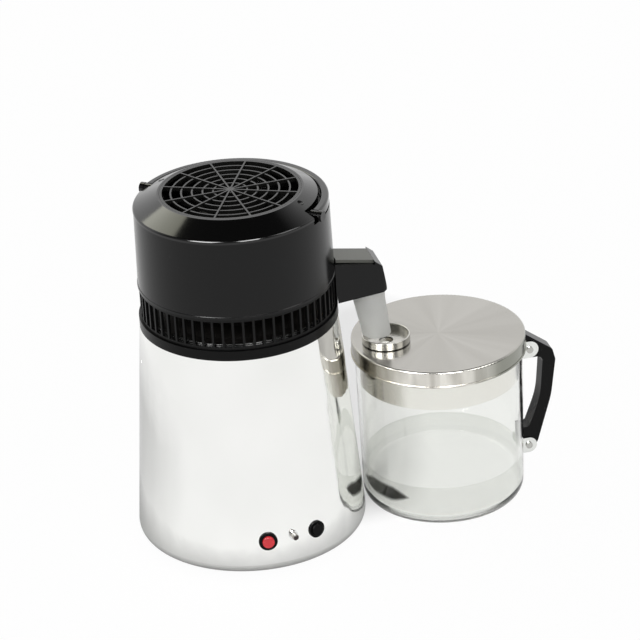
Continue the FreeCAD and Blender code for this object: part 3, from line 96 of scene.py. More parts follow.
# ---- Studio --------------------------------------------------------------------------------
# White paper in a room with a bright back wall, and with a dark ceiling and front apart from
# the softboxes. The paper looks plain white but for a soft grey streak behind the still, which is
# a painted shadow. Steel mirrors it with a painted pool of light and painted shade by the boiler.


def shader_tree(owner):
    """An owner's empty node tree, and a function that adds a node with its settings to it."""
    owner.use_nodes = True
    tree = owner.node_tree
    tree.nodes.clear()

    def add(kind, **settings):
        made = tree.nodes.new(kind)
        for name, value in settings.items():
            if hasattr(made, name):
                setattr(made, name, value)
            else:
                made.inputs[name.replace("_", " ")].default_value = value
        return made

    return tree, add


def feed(tree, value, socket):
    """Link a socket to an output, or set it to a plain value."""
    if isinstance(value, bpy.types.NodeSocket):
        tree.links.new(value, socket)
    else:
        socket.default_value = value


def worked(tree, add, operation, *values):
    """The outcome of one operation on numbers."""
    step = add("ShaderNodeMath", operation=operation)
    for value, socket in zip(values, step.inputs):
        feed(tree, value, socket)
    return step.outputs[0]


def worked_vector(tree, add, operation, *values):
    """The outcome of one operation on vectors, which is a vector or a number."""
    step = add("ShaderNodeVectorMath", operation=operation)
    for value, socket in zip(values, step.inputs):
        feed(tree, value, socket)
    gives_number = operation in ("DOT_PRODUCT", "LENGTH", "DISTANCE")
    return step.outputs["Value" if gives_number else "Vector"]


def spread(tree, add, value, low, high, start=0.0, stop=1.0):
    """Stretch a value that runs from start to stop so that it runs from low to high."""
    mapped = add("ShaderNodeMapRange")
    tree.links.new(value, mapped.inputs["Value"])
    mapped.inputs["From Min"].default_value = start
    mapped.inputs["From Max"].default_value = stop
    mapped.inputs["To Min"].default_value = low
    mapped.inputs["To Max"].default_value = high
    return mapped.outputs["Result"]


def either(tree, add, first, second, factor):
    """One number or the other, or a blend of them."""
    blend = add("ShaderNodeMix", data_type="FLOAT")
    feed(tree, first, blend.inputs["A"])
    feed(tree, second, blend.inputs["B"])
    feed(tree, factor, blend.inputs["Factor"])
    return blend.outputs["Result"]


def height_in(tree, add, coordinates):
    """The height in some coordinates."""
    parts = add("ShaderNodeSeparateXYZ")
    tree.links.new(coordinates, parts.inputs[0])
    return parts.outputs["Z"]


def own_coordinates(tree, add):
    """The piece's own coordinates, in metres."""
    return add("ShaderNodeTexCoord").outputs["Object"]


def seen_plainly(tree, add, path):
    """1 for the camera and for what shows through glass, and 0 for all other light."""
    return worked(tree, add, "MAXIMUM", path.outputs["Is Camera Ray"],
                  path.outputs["Is Transmission Ray"])


bpy.context.scene.view_settings.view_transform = "Standard"
room_light = 0.75
back_wall = 1.3
front_wall = 0.25
walls_start, walls_stop = -0.1, 0.35
ceiling = 0.05
ceiling_start, ceiling_stop = 0.6, 0.85
away_from_view = Vector((-back.x, -back.y, 0)).normalized()

world = bpy.data.worlds.new("studio_room")
bpy.context.scene.world = world
tree, add = shader_tree(world)
path = add("ShaderNodeLightPath")
direction = add("ShaderNodeTexCoord").outputs["Generated"]
backward = worked_vector(tree, add, "DOT_PRODUCT", direction, away_from_view)
walls = spread(tree, add, backward, front_wall, back_wall, walls_start, walls_stop)
overhead = spread(tree, add, height_in(tree, add, direction), 0.0, 1.0, ceiling_start, ceiling_stop)
mirrored = either(tree, add, walls, ceiling, overhead)
plain = either(tree, add, room_light, mirrored, path.outputs["Is Glossy Ray"])
clear = seen_plainly(tree, add, path)
room = add("ShaderNodeBackground", Color=(1, 1, 1, 1))
tree.links.new(either(tree, add, plain, 1.0, clear), room.inputs["Strength"])
tree.links.new(room.outputs[0], add("ShaderNodeOutputWorld").inputs["Surface"])

paper_size = 12
paper_drop = 0.0004
paper_white = 0.86
glow_seen = 0.97
glow_mirrored = 0.75
# Painted light that only reflections show: a pool of light on the paper, dimmed behind and left of
# the boiler as a painted shadow, and painted shade round the boiler's foot.
pool_bearing = math.radians(15)
pool_way = level_right * math.sin(pool_bearing) - away_from_view * math.cos(pool_bearing)
pool_dim, pool_bright = 0.62, 1.09
pool_turn_start, pool_turn_stop = -0.75, 0.35
pool_near, pool_far = 0.36, 0.55
foot_shade = 0.25
foot_shade_start, foot_shade_stop = 0.11, 0.19
# A painted shadow: along a soft streak behind the still the paper glows less to the camera and
# through glass, so more of its own shade shows.
streak_start = level_right * 0.106 + away_from_view * 0.05
streak_run = level_right * 0.013 + away_from_view * 0.38
streak_core, streak_edge = 0.02, 0.075
streak_glow = 0.4

bpy.ops.mesh.primitive_plane_add(size=paper_size, location=(0, 0, -paper_drop))
paper = bpy.context.object
paper.name = "paper_floor"
paper_finish = bpy.data.materials.new("white_paper")
tree, add = shader_tree(paper_finish)
path = add("ShaderNodeLightPath")
sheet = add("ShaderNodeBsdfDiffuse", Color=(paper_white, paper_white, paper_white, 1))
from_boiler = worked_vector(tree, add, "SUBTRACT", own_coordinates(tree, add), boiler_axis)
way = worked_vector(tree, add, "NORMALIZE", from_boiler)
facing = worked_vector(tree, add, "DOT_PRODUCT", way, pool_way)
pool = spread(tree, add, facing, pool_dim, pool_bright, pool_turn_start, pool_turn_stop)
off_axis = worked_vector(tree, add, "LENGTH", from_boiler)
away = spread(tree, add, off_axis, 0.0, 1.0, pool_near, pool_far)
pool = either(tree, add, pool, pool_bright, away)
beside_foot = spread(tree, add, off_axis, foot_shade, 1.0, foot_shade_start, foot_shade_stop)
# The painted pool of light times the painted shade round the foot, which steel mirrors.
painted_light = worked(tree, add, "MULTIPLY", pool, beside_foot)
from_start = worked_vector(tree, add, "SUBTRACT", from_boiler, streak_start)
along = worked_vector(tree, add, "DOT_PRODUCT", from_start, streak_run / streak_run.length_squared)
nearest = add("ShaderNodeVectorMath", operation="SCALE")
nearest.inputs[0].default_value = streak_run
tree.links.new(spread(tree, add, along, 0.0, 1.0), nearest.inputs["Scale"])
off_streak = worked_vector(tree, add, "DISTANCE", from_start, nearest.outputs[0])
open_paper = spread(tree, add, off_streak, streak_glow, glow_seen, streak_core, streak_edge)
clear = seen_plainly(tree, add, path)
share = either(tree, add, 0.0, glow_mirrored, path.outputs["Is Glossy Ray"])
share = either(tree, add, share, open_paper, clear)
glow = add("ShaderNodeEmission", Color=(1, 1, 1, 1))
tree.links.new(either(tree, add, painted_light, 1.0, clear), glow.inputs["Strength"])
both = add("ShaderNodeMixShader")
tree.links.new(share, both.inputs["Fac"])
tree.links.new(sheet.outputs[0], both.inputs[1])
tree.links.new(glow.outputs[0], both.inputs[2])
tree.links.new(both.outputs[0], add("ShaderNodeOutputMaterial").inputs["Surface"])
paper.data.materials.append(paper_finish)

room_middle = Vector((0, 0, 0.2))


def softbox(name, bearing, elevation, distance, width, height, brightness, colour=(1, 1, 1)):
    """A lamp that only glossy things and glass show; bearings run rightwards from the front."""
    lamp = bpy.data.lights.new(name, "AREA")
    lamp.shape = "RECTANGLE"
    lamp.size = width
    lamp.size_y = height
    lamp.energy = brightness * math.pi * width * height
    lamp.color = colour
    turn = math.radians(bearing)
    rise = math.radians(elevation)
    level = level_right * math.sin(turn) - away_from_view * math.cos(turn)
    towards_lamp = level * math.cos(rise) + Vector((0, 0, math.sin(rise)))
    holder = bpy.data.objects.new(name, lamp)
    holder.location = room_middle + distance * towards_lamp
    holder.rotation_euler = (holder.location - room_middle).to_track_quat("Z", "Y").to_euler()
    holder.visible_camera = False
    holder.visible_diffuse = False
    bpy.context.scene.collection.objects.link(holder)


softbox("left_softbox", -38, 39, 2.0, 0.85, 1.3, 18)
softbox("near_softbox", 17, 39, 2.0, 0.7, 1.3, 15)
softbox("right_softbox", 68, 38, 2.0, 0.9, 1.2, 3.5)
softbox("rear_softbox", 216, 46, 2.2, 1.05, 0.9, 2.9, (1, 1, 0.82))


# ---- Boiler casing -------------------------------------------------------------------------
# A cone of stainless sheet, spun and polished until it mirrors the room. The polishing mops
# leave faint level lines, and the sheet is never quite true, so what it mirrors wavers.


def round_coordinates(tree, add, axis):
    """Angle round an upright axis in radians, distance from it and height, both in metres."""
    centred = worked_vector(tree, add, "SUBTRACT", own_coordinates(tree, add), axis)
    parts = add("ShaderNodeSeparateXYZ")
    tree.links.new(centred, parts.inputs[0])
    flat = worked_vector(tree, add, "MULTIPLY", centred, (1, 1, 0))
    radius = worked_vector(tree, add, "LENGTH", flat)
    angle = worked(tree, add, "ARCTAN2", parts.outputs["Y"], parts.outputs["X"])
    joined = add("ShaderNodeCombineXYZ")
    tree.links.new(angle, joined.inputs["X"])
    tree.links.new(radius, joined.inputs["Y"])
    tree.links.new(parts.outputs["Z"], joined.inputs["Z"])
    return joined.outputs[0]


def noise_over(tree, add, coordinates, stretch, detail=3.0):
    """Noise with the given number of features per unit along each coordinate."""
    speckle = add("ShaderNodeTexNoise", Scale=1.0, Detail=detail)
    scaled = worked_vector(tree, add, "MULTIPLY", coordinates, stretch)
    tree.links.new(scaled, speckle.inputs["Vector"])
    return speckle.outputs["Fac"]


def bumped(tree, add, bsdf, height, depth, under=None):
    """Raise a surface's normal by a height map, depth in metres, over another bump if given."""
    bump = add("ShaderNodeBump", Strength=1.0, Distance=depth)
    tree.links.new(height, bump.inputs["Height"])
    if under:
        tree.links.new(under.outputs[0], bump.inputs["Normal"])
    tree.links.new(bump.outputs[0], bsdf.inputs["Normal"])
    return bump


def finish(name, **settings):
    """A new material with one principled shader; its tree, node maker and shader come back too."""
    material = bpy.data.materials.new(name)
    tree, add = shader_tree(material)
    bsdf = add("ShaderNodeBsdfPrincipled", **settings)
    tree.links.new(bsdf.outputs[0], add("ShaderNodeOutputMaterial").inputs["Surface"])
    return material, tree, add, bsdf


def dress(material, *nodes):
    """Give parts of the frame this finish."""
    for node in nodes:
        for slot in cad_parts[node].material_slots:
            slot.material = material


def blended(tree, add, share, first, second):
    """One colour or the other, or a blend of them; each is an output or three plain numbers."""
    blend = add("ShaderNodeMix", data_type="RGBA")
    tree.links.new(share, blend.inputs["Factor"])
    for colour, socket in ((first, blend.inputs["A"]), (second, blend.inputs["B"])):
        feed(tree, (*colour, 1) if isinstance(colour, tuple) else colour, socket)
    return blend.outputs["Result"]


def shaded(tree, add, bsdf, value, dark, light):
    """Colour a surface between two tones by a 0 to 1 value."""
    tree.links.new(blended(tree, add, value, dark, light), bsdf.inputs["Base Color"])


# Patterns are in features for each radian round, metre outward and metre upward.
mop_lines = (3, 60, 2600)
mop_line_depth = 0.0000012
sheet_tones = (1.1, 8, 9)
sheet_dents = (4, 30, 14)
sheet_ripples = (14, 90, 70)


def polished_sheet(name, axis, dark, light, rough, dents, ripples):
    """Mopped stainless sheet, turned about an upright axis, with wide dents and finer ripples."""
    material, tree, add, bsdf = finish(name, Metallic=1.0)
    around = round_coordinates(tree, add, axis)
    lines = noise_over(tree, add, around, mop_lines)
    shaded(tree, add, bsdf, noise_over(tree, add, around, sheet_tones, 2.0), dark, light)
    tree.links.new(spread(tree, add, lines, *rough), bsdf.inputs["Roughness"])
    wide = bumped(tree, add, bsdf, noise_over(tree, add, around, sheet_dents, 1.0), dents)
    fine = noise_over(tree, add, around, sheet_ripples, 1.0)
    fine = bumped(tree, add, bsdf, fine, ripples, wide)
    bumped(tree, add, bsdf, lines, mop_line_depth, fine)
    return material, tree, add, bsdf


casing_steel, *_ = polished_sheet("casing_steel", boiler_axis, (0.84, 0.845, 0.82),
                                  (0.95, 0.95, 0.935), (0.05, 0.1), 0.0011, 0.0001)
dress(casing_steel, "outer_casing")


# ---- Boiling pot ---------------------------------------------------------------------------
# Deep-drawn stainless pot that hangs by its rolled lip, which shows bright in the gap between
# the boiler and the head. Its walls keep the level marks of the drawing die.

pot_steel, *_ = polished_sheet("pot_steel", boiler_axis, (0.78, 0.78, 0.77),
                               (0.88, 0.88, 0.87), (0.14, 0.22), 0.00005, 0.000005)
dress(pot_steel, "boiling_pot")


# ---- Condenser -----------------------------------------------------------------------------
# The domed plate over the pot and the tube coiled above it are stainless too, dulled by steam and
# the heat of welding. Their colour is painted near black, as shade for the dark inside the head.
# The unions are turned from brass, and the seals are milky silicone.

patch_relief = 0.004


def even_noise(tree, add, per_metre, detail):
    """Noise with the same number of features for each metre every way."""
    stretch = (per_metre, per_metre, per_metre)
    return noise_over(tree, add, own_coordinates(tree, add), stretch, detail)


def mottled(name, dark, light, patch, rough, metallic=1.0):
    """Metal or filler with patches of two tones and a roughness that follows them."""
    material, tree, add, bsdf = finish(name, Metallic=metallic)
    tone = even_noise(tree, add, 1 / patch, 4.0)
    shaded(tree, add, bsdf, tone, dark, light)
    tree.links.new(spread(tree, add, tone, *rough), bsdf.inputs["Roughness"])
    bumped(tree, add, bsdf, tone, patch * patch_relief)
    return material


# Painted shade: these parts sit in the dark inside the head, so their colour is near black.
shade_darkened_steel = mottled("shade_darkened_steel", (0.012, 0.011, 0.01), (0.03, 0.028, 0.026), 0.012, (0.45, 0.6))
dress(shade_darkened_steel, "condenser_plate", "condenser_coil", "steam_pipe", "outlet_pipe", "plate_posts",
      "motor_bracket", "fan_motor")
brass = mottled("turned_brass", (0.42, 0.3, 0.14), (0.62, 0.46, 0.22), 0.008, (0.25, 0.4))
dress(brass, "coil_unions", "inlet_pins")
silicone = mottled("silicone", (0.62, 0.61, 0.58), (0.72, 0.71, 0.68), 0.01, (0.45, 0.6), 0.0)
dress(silicone, "plate_gasket", "lid_seal")


# ---- Head shell and collar -----------------------------------------------------------------
# Moulded in black plastic from a tool with a fine spark-eroded grain. Handling has rubbed the
# grain a little smoother in places.

worn_per_metre = 22
worn_gain, worn_offset = 1.3, 0.0004


def moulded(name, colour, rough, gloss, grain, grain_depth):
    """Moulded plastic with its tool's grain, both grain sizes in metres."""
    material, tree, add, bsdf = finish(name)
    bsdf.inputs["Specular IOR Level"].default_value = gloss
    pits = even_noise(tree, add, 1 / grain, 2.0)
    worn = even_noise(tree, add, worn_per_metre, 4.0)
    lighter = tuple(min(1, part * worn_gain + worn_offset) for part in colour)
    shaded(tree, add, bsdf, worn, colour, lighter)
    tree.links.new(spread(tree, add, worn, *rough), bsdf.inputs["Roughness"])
    bumped(tree, add, bsdf, pits, grain_depth)
    return material


satin_black = moulded("satin_black", (0.0018, 0.0018, 0.0018), (0.16, 0.22), 0.25, 0.0007, 0.000012)
dress(satin_black, "head_shell")
collar_black = moulded("collar_black", (0.0022, 0.0022, 0.0022), (0.26, 0.34), 0.12, 0.0007, 0.000012)
dress(collar_black, "casing_collar")


# ---- Cover, guard and carry handle ---------------------------------------------------------
# These come from a polished tool, so they shine. The cover and the guard are screwed down, and
# the handle hangs on two shouldered screws with round heads.

gloss_black = moulded("gloss_black", (0.0007, 0.0007, 0.0007), (0.09, 0.13), 0.5, 0.002, 0.000003)
dress(gloss_black, "top_cover", "carry_handle", "handle_pivots")
guard_black = moulded("guard_black", (0.009, 0.009, 0.008), (0.22, 0.3), 0.42, 0.001, 0.00001)
dress(guard_black, "fan_guard")


# ---- Vent ring, base and fan ---------------------------------------------------------------
# Unpolished mouldings with a coarser grain, and the other dull black pieces inside. The ribs of
# the vent ring show all round, and the fan shows through its guard.

rib_black = moulded("rib_black", (0.004, 0.004, 0.004), (0.34, 0.42), 0.16, 0.0008, 0.00002)
dress(rib_black, "vent_ring")
inner_black = moulded("inner_black", (0.006, 0.006, 0.006), (0.4, 0.5), 0.4, 0.0008, 0.00003)
dress(inner_black, "base_plate", "fan_blades", "terminal_block", "thermostat", "thermal_cutout",
      "panel_nuts", "charcoal_filter")


# ---- Feet, screws and heater ---------------------------------------------------------------
# Rubber feet with zinc-plated screws, blackened screws in the cover, and a cast aluminium plate
# with its ring element, clamped below the pot.

rubber = moulded("rubber", (0.02, 0.02, 0.02), (0.6, 0.75), 0.4, 0.0011, 0.0001)
dress(rubber, "rubber_feet")
zinc = mottled("zinc_plate", (0.42, 0.42, 0.41), (0.56, 0.56, 0.54), 0.008, (0.28, 0.42))
dress(zinc, "foot_screws", "heater_clamp", "heating_element", "fan_shaft")
dark_screw = mottled("dark_screw", (0.03, 0.03, 0.03), (0.06, 0.06, 0.06), 0.004, (0.3, 0.45))
dress(dark_screw, "cover_screws")
cast_aluminium = mottled("cast_aluminium", (0.5, 0.5, 0.5), (0.62, 0.62, 0.62), 0.003, (0.45, 0.6))
dress(cast_aluminium, "heater_plate")


# ---- Controls ------------------------------------------------------------------------------
# A red start button, a pilot lamp with a pale lens, and a black reset button, each in its own
# ring low on the boiler. The tip of the lamp's lens is dark.

control_black = moulded("control_black", (0.005, 0.005, 0.005), (0.3, 0.38), 0.08, 0.001, 0.000005)
dress(control_black, "start_bezel", "reset_bezel", "reset_button")
red_gloss = moulded("red_gloss", (0.7, 0.035, 0.045), (0.22, 0.3), 0.4, 0.002, 0.000003)
dress(red_gloss, "start_button")
chrome = mottled("chrome", (0.7, 0.7, 0.7), (0.82, 0.82, 0.82), 0.01, (0.08, 0.14))
dress(chrome, "pilot_bezel")

lens_clearness = 0.25
lens_dark, lens_pale = (0.03, 0.012, 0.012), (0.86, 0.84, 0.78)
lamp_tip = 0.0029
tip_fade_start, tip_fade_stop = 0.7, 1.3
wall_lean = math.radians(4.41)
lamp_bearing = math.radians(-81.2)
lamp_line = Vector((math.cos(lamp_bearing) * math.cos(wall_lean),
                    math.sin(lamp_bearing) * math.cos(wall_lean), math.sin(wall_lean)))
lamp_lens, tree, add, bsdf = finish("lamp_lens", Roughness=0.12, IOR=1.49)
bsdf.inputs["Transmission Weight"].default_value = lens_clearness
from_lamp = worked_vector(tree, add, "SUBTRACT", own_coordinates(tree, add),
                          middle_of("pilot_lens"))
off_line = worked_vector(tree, add, "CROSS_PRODUCT", from_lamp, lamp_line)
off_middle = worked_vector(tree, add, "LENGTH", off_line)
rim = spread(tree, add, off_middle, 0.0, 1.0, lamp_tip * tip_fade_start, lamp_tip * tip_fade_stop)
shaded(tree, add, bsdf, rim, lens_dark, lens_pale)
dress(lamp_lens, "pilot_lens")


# ---- Sockets -------------------------------------------------------------------------------
# The mains inlet and the fan's two small round sockets are plain black mouldings, on the side
# away from the controls.

dress(inner_black, "power_inlet", "fan_supply_jack", "fan_jack")


# ---- Spout ---------------------------------------------------------------------------------
# A hollow moulding in the same black as the head, with a flat grey cap in the step on its top.
# The cap is moulded too, in a duller grain.

dress(satin_black, "spout_housing")
cap_grey = moulded("cap_grey", (0.12, 0.122, 0.105), (0.4, 0.5), 0.5, 0.0007, 0.00002)
dress(cap_grey, "spout_cap")


# ---- Spout nozzle --------------------------------------------------------------------------
# A leaning steel cone that lets the drops fall into the cup. It is bead-blasted to such an even
# satin that it is shaded as a pale dull surface, and not as a metal.

nozzle_steel = mottled("nozzle_steel", (0.57, 0.575, 0.555), (0.62, 0.625, 0.605), 0.0009,
                       (0.5, 0.58), 0.0)
dress(nozzle_steel, "drip_nozzle")


# ---- Jug lid and sleeve --------------------------------------------------------------------
# Pressed stainless lid, brushed round its middle, with wedges of light and shade painted into its
# colour. Its skirt is brighter, in uneven blocks. The sleeve inside it is plain sheet. On the
# boiler's side both are darkened as a painted reflection of the boiler.

brush_rings = (2, 2600, 900)
brush_depth = 0.000003
painted_wedge_pattern = (2.6, 3, 3)
skirt_blocks = (7, 0, 12)
block_start, block_stop = 0.4, 0.6
top_dark, top_light = (0.32, 0.31, 0.285), (0.42, 0.41, 0.385)
skirt_dark, skirt_light = (0.54, 0.52, 0.475), (0.8, 0.78, 0.725)
mirrored_boiler_tone, far_side_tone = (0.36, 0.34, 0.29), (0.27, 0.275, 0.24)
sleeve_mirrored_boiler_tone = (0.36, 0.33, 0.28)
lid_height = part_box("jug_lid")[1][2]
lid_edge = 0.0006
boiler_side = (boiler_axis - jug_axis).normalized()


def colour_of(bsdf):
    """The output that colours a surface so far."""
    return bsdf.inputs["Base Color"].links[0].from_socket


def darkened_towards(tree, add, bsdf, side, start, stop, brown):
    """Blend a finish towards another colour on one side of the jug's axis."""
    place = worked_vector(tree, add, "SUBTRACT", own_coordinates(tree, add), jug_axis)
    level = worked_vector(tree, add, "MULTIPLY", place, (1, 1, 0))
    way = worked_vector(tree, add, "NORMALIZE", level)
    towards = worked_vector(tree, add, "DOT_PRODUCT", way, side)
    side_share = spread(tree, add, towards, 0.0, 1.0, start, stop)
    shaded(tree, add, bsdf, side_share, colour_of(bsdf), brown)


def ring_brushed_with_painted_wedges(name, axis, dark, light, rough, along):
    """Steel brushed in rings about an upright axis, with light and shade painted on in wedges;
    along is how much its lines stretch light.
    """
    material, tree, add, bsdf = finish(name, Metallic=1.0, Anisotropic=along)
    around = round_coordinates(tree, add, axis)
    rings = noise_over(tree, add, around, brush_rings)
    # Painted light and shade: wedges of lighter and darker tone round the axis.
    painted_wedges = noise_over(tree, add, around, painted_wedge_pattern, 2.0)
    shaded(tree, add, bsdf, painted_wedges, dark, light)
    tree.links.new(spread(tree, add, rings, *rough), bsdf.inputs["Roughness"])
    bumped(tree, add, bsdf, rings, brush_depth)
    tangent = add("ShaderNodeTangent", direction_type="RADIAL", axis="Z")
    tree.links.new(tangent.outputs[0], bsdf.inputs["Tangent"])
    return material, tree, add, bsdf


lid_steel, tree, add, bsdf = ring_brushed_with_painted_wedges("lid_steel", jug_axis, top_dark, top_light,
                                           (0.16, 0.22), 0.5)
top_colour_with_painted_wedges = colour_of(bsdf)
blocks = noise_over(tree, add, round_coordinates(tree, add, jug_axis), skirt_blocks, 1.0)
blocks = spread(tree, add, blocks, 0.0, 1.0, block_start, block_stop)
shaded(tree, add, bsdf, blocks, skirt_dark, skirt_light)
# Painted reflection: the lid darker on the boiler's side, as if it mirrored the dark boiler.
darkened_towards(tree, add, bsdf, boiler_side, 0.6, 0.85, mirrored_boiler_tone)
# Darker on the side away from the boiler.
darkened_towards(tree, add, bsdf, -boiler_side, 0.0, 0.5, far_side_tone)
on_top = spread(tree, add, height_in(tree, add, own_coordinates(tree, add)), 0.0, 1.0,
                lid_height - 2 * lid_edge, lid_height - lid_edge)
shaded(tree, add, bsdf, on_top, colour_of(bsdf), top_colour_with_painted_wedges)
dress(lid_steel, "jug_lid")

sleeve_steel, tree, add, bsdf = polished_sheet("sleeve_steel", jug_axis, (0.84, 0.82, 0.78),
                                               (0.95, 0.94, 0.91), (0.1, 0.16), 0.0005, 0.00005)
# Painted reflection: the sleeve darker on the boiler's side, as if it mirrored the dark boiler.
darkened_towards(tree, add, bsdf, boiler_side, 0.6, 0.9, sleeve_mirrored_boiler_tone)
dress(sleeve_steel, "lid_sleeve")


# ---- Inlet cup -----------------------------------------------------------------------------
# A shallow turned cup, polished bright, with a spigot that drips through the lid. A dark line of
# painted shade runs round its foot, in the corner where it stands on the lid.

cup_height = 0.0083
foot_line_height = 0.0011
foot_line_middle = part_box("inlet_cup")[1][2] - cup_height + foot_line_height / 2
line_core, line_edge = 0.45, 0.6
painted_foot_shade = (0.03, 0.028, 0.024)
cup_steel, tree, add, bsdf = polished_sheet("cup_steel", axis_through("inlet_cup"),
                                            (0.42, 0.41, 0.38), (0.54, 0.53, 0.5),
                                            (0.2, 0.28), 0.0002, 0.00002)
above = worked(tree, add, "SUBTRACT", height_in(tree, add, own_coordinates(tree, add)),
               foot_line_middle)
off_foot_line = worked(tree, add, "ABSOLUTE", above)
# Painted shade: a dark line round the cup's foot where it meets the lid.
beyond_foot_line = spread(tree, add, off_foot_line, 0.0, 1.0, foot_line_height * line_core, foot_line_height * line_edge)
shaded(tree, add, bsdf, beyond_foot_line, painted_foot_shade, colour_of(bsdf))
dress(cup_steel, "inlet_cup")


# ---- Glass jug -----------------------------------------------------------------------------
# Pressed borosilicate, nearly clear, with the faint level ripples that the mould leaves. Its
# thick foot keeps the mould's dull skin, and its walls are fire-polished.

glass_tint = (0.93, 0.935, 0.918, 1)
glass_ripples = (3, 40, 45)
glass_ripple_depth = 0.0001
foot_skin = 0.25
foot_skin_height = 0.005
skin_fade_start, skin_fade_stop = 0.8, 1.2
clear_glass, tree, add, bsdf = finish("clear_glass", IOR=1.47)
bsdf.inputs["Transmission Weight"].default_value = 1.0
bsdf.inputs["Base Color"].default_value = glass_tint
ripples = noise_over(tree, add, round_coordinates(tree, add, jug_axis), glass_ripples, 1.0)
bumped(tree, add, bsdf, ripples, glass_ripple_depth)
skin = spread(tree, add, height_in(tree, add, own_coordinates(tree, add)), foot_skin, 0.0,
              foot_skin_height * skin_fade_start, foot_skin_height * skin_fade_stop)
tree.links.new(skin, bsdf.inputs["Roughness"])
dress(clear_glass, "glass_jug")


# ---- Water in the jug ----------------------------------------------------------------------
# The first cupful of distilled water, which climbs the glass a little all round its edge. Where
# it wets the glass it is a tinted film, and a dark patch painted on the film stands for the
# boiler's foot, as the wet glass mirrors it.

water_level = 0.042
glass_floor = 0.005
inner_foot_radius = 0.0776
inner_flare = 0.0026 / 0.163
inner_heel_radius = 0.0097
overlap = 0.0001
climb = 0.0016
climb_reach = 2.2
curve_steps = 8
round_steps = 128


def inner_radius(height):
    """The jug's inner radius at a height."""
    return inner_foot_radius + (height - glass_floor) * inner_flare


def water_outline():
    """Radii and heights from the middle of the water's floor, up its wall and across its top."""
    outline = [(0, glass_floor - overlap)]
    heel = inner_heel_radius
    turn_middle = inner_radius(glass_floor + heel) - heel
    for step in range(curve_steps + 1):
        angle = math.radians(-90 + 90 * step / curve_steps)
        outline.append((turn_middle + (heel + overlap) * math.cos(angle),
                        glass_floor + heel + (heel + overlap) * math.sin(angle)))
    edge = inner_radius(water_level) + overlap
    outline.append((edge, water_level + climb))
    for step in range(1, curve_steps + 1):
        inward = climb * climb_reach * step / curve_steps
        outline.append((edge - inward, water_level + climb * (1 - step / curve_steps) ** 2))
    outline.append((0, water_level))
    return outline


def lathed(name, outline, axis, steps):
    """A closed mesh turned about an upright axis from an outline that starts and ends on it."""
    mesh = bmesh.new()
    rings = []
    for radius, level in outline:
        if radius == 0:
            rings.append([mesh.verts.new(axis + Vector((0, 0, level)))])
            continue
        ring = []
        for step in range(steps):
            angle = 2 * math.pi * step / steps
            ring.append(mesh.verts.new(axis + Vector((radius * math.cos(angle),
                                                      radius * math.sin(angle), level))))
        rings.append(ring)
    for inner, outer in zip(rings, rings[1:]):
        for step in range(steps):
            ahead = (step + 1) % steps
            corners = [inner[step % len(inner)], outer[step % len(outer)],
                       outer[ahead % len(outer)], inner[ahead % len(inner)]]
            mesh.faces.new([c for i, c in enumerate(corners) if c not in corners[:i]])
    bmesh.ops.recalc_face_normals(mesh, faces=mesh.faces)
    data = bpy.data.meshes.new(name)
    mesh.to_mesh(data)
    mesh.free()
    data.shade_smooth()
    piece = bpy.data.objects.new(name, data)
    bpy.context.scene.collection.objects.link(piece)
    return piece


swell_per_metre = 30
swell_depth = 0.00006
water = lathed("water", water_outline(), jug_axis, round_steps)
clear_water, tree, add, bsdf = finish("clear_water", Roughness=0.0, IOR=1.333)
bsdf.inputs["Transmission Weight"].default_value = 1.0
bsdf.inputs["Base Color"].default_value = (0.985, 0.99, 0.985, 1)
bumped(tree, add, bsdf, even_noise(tree, add, swell_per_metre, 1.0), swell_depth)
water.data.materials.append(clear_water)

film_streaks = (6, 1, 20)
film_dim, film_clear = (0.94, 0.945, 0.935), (0.99, 0.992, 0.985)
film_inside = (0.83, 0.84, 0.82)
film_start, film_stop = glass_floor + 0.001, glass_floor + 0.003
patch_colour = (0.05, 0.05, 0.045)
patch_bearing = math.radians(-155)
patch_side = Vector((math.cos(patch_bearing), math.sin(patch_bearing), 0))
patch_height, patch_depth = 0.0295, 0.0095
patch_reach_start, patch_reach_stop = 0.9, 0.985
patch_soft_edge = 0.004

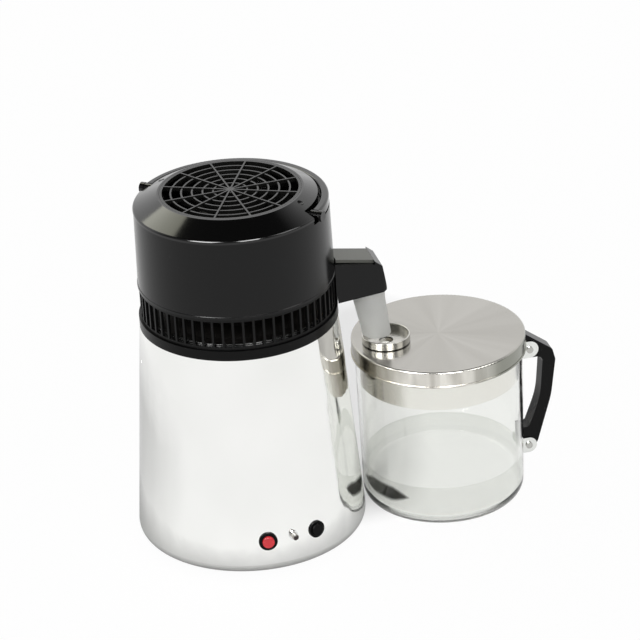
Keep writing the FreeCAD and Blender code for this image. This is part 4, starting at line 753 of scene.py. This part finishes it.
wetted_glass = bpy.data.materials.new("wetted_glass")
tree, add = shader_tree(wetted_glass)
streak = noise_over(tree, add, round_coordinates(tree, add, jug_axis), film_streaks, 2.0)
tone = blended(tree, add, streak, film_dim, film_clear)
on_wall = spread(tree, add, height_in(tree, add, own_coordinates(tree, add)), 0.0, 1.0,
                 film_start, film_stop)
from_inside = worked(tree, add, "MULTIPLY", add("ShaderNodeNewGeometry").outputs["Backfacing"],
                     on_wall)
tone = blended(tree, add, from_inside, tone, film_inside)
from_patch = worked_vector(tree, add, "SUBTRACT", own_coordinates(tree, add),
                           jug_axis + Vector((0, 0, patch_height)))
level_off = worked(tree, add, "ABSOLUTE", height_in(tree, add, from_patch))
towards_patch = worked_vector(tree, add, "DOT_PRODUCT", from_patch,
                              patch_side / inner_radius(patch_height))
reach = spread(tree, add, towards_patch, 0.0, patch_depth, patch_reach_start, patch_reach_stop)
inside = spread(tree, add, worked(tree, add, "SUBTRACT", reach, level_off), 0.0, 1.0,
                0.0, patch_soft_edge)
tone = blended(tree, add, inside, tone, patch_colour)
film = add("ShaderNodeBsdfTransparent")
tree.links.new(tone, film.inputs["Color"])
tree.links.new(film.outputs[0], add("ShaderNodeOutputMaterial").inputs["Surface"])
water.data.materials.append(wetted_glass)

faces_up = 0.1
for face in water.data.polygons:
    on_surface = face.normal.z > faces_up and face.center.z > water_level - climb
    face.material_index = 0 if on_surface else 1
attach(water, "jug")


# ---- Jug handle ----------------------------------------------------------------------------
# A solid black moulding held in two bright steel forks, each with one screw across it, on the
# side of the jug that is away from the boiler.

handle_black = moulded("handle_black", (0.0016, 0.0016, 0.0016), (0.1, 0.16), 0.14, 0.002, 0.000003)
dress(handle_black, "jug_handle")
fork_steel = mottled("fork_steel", (0.7, 0.71, 0.69), (0.84, 0.85, 0.82), 0.006, (0.12, 0.2))
dress(fork_steel, "upper_bracket", "lower_bracket")
screw_steel = mottled("screw_steel", (0.4, 0.4, 0.38), (0.55, 0.55, 0.52), 0.003, (0.2, 0.3))
dress(screw_steel, "handle_screws")
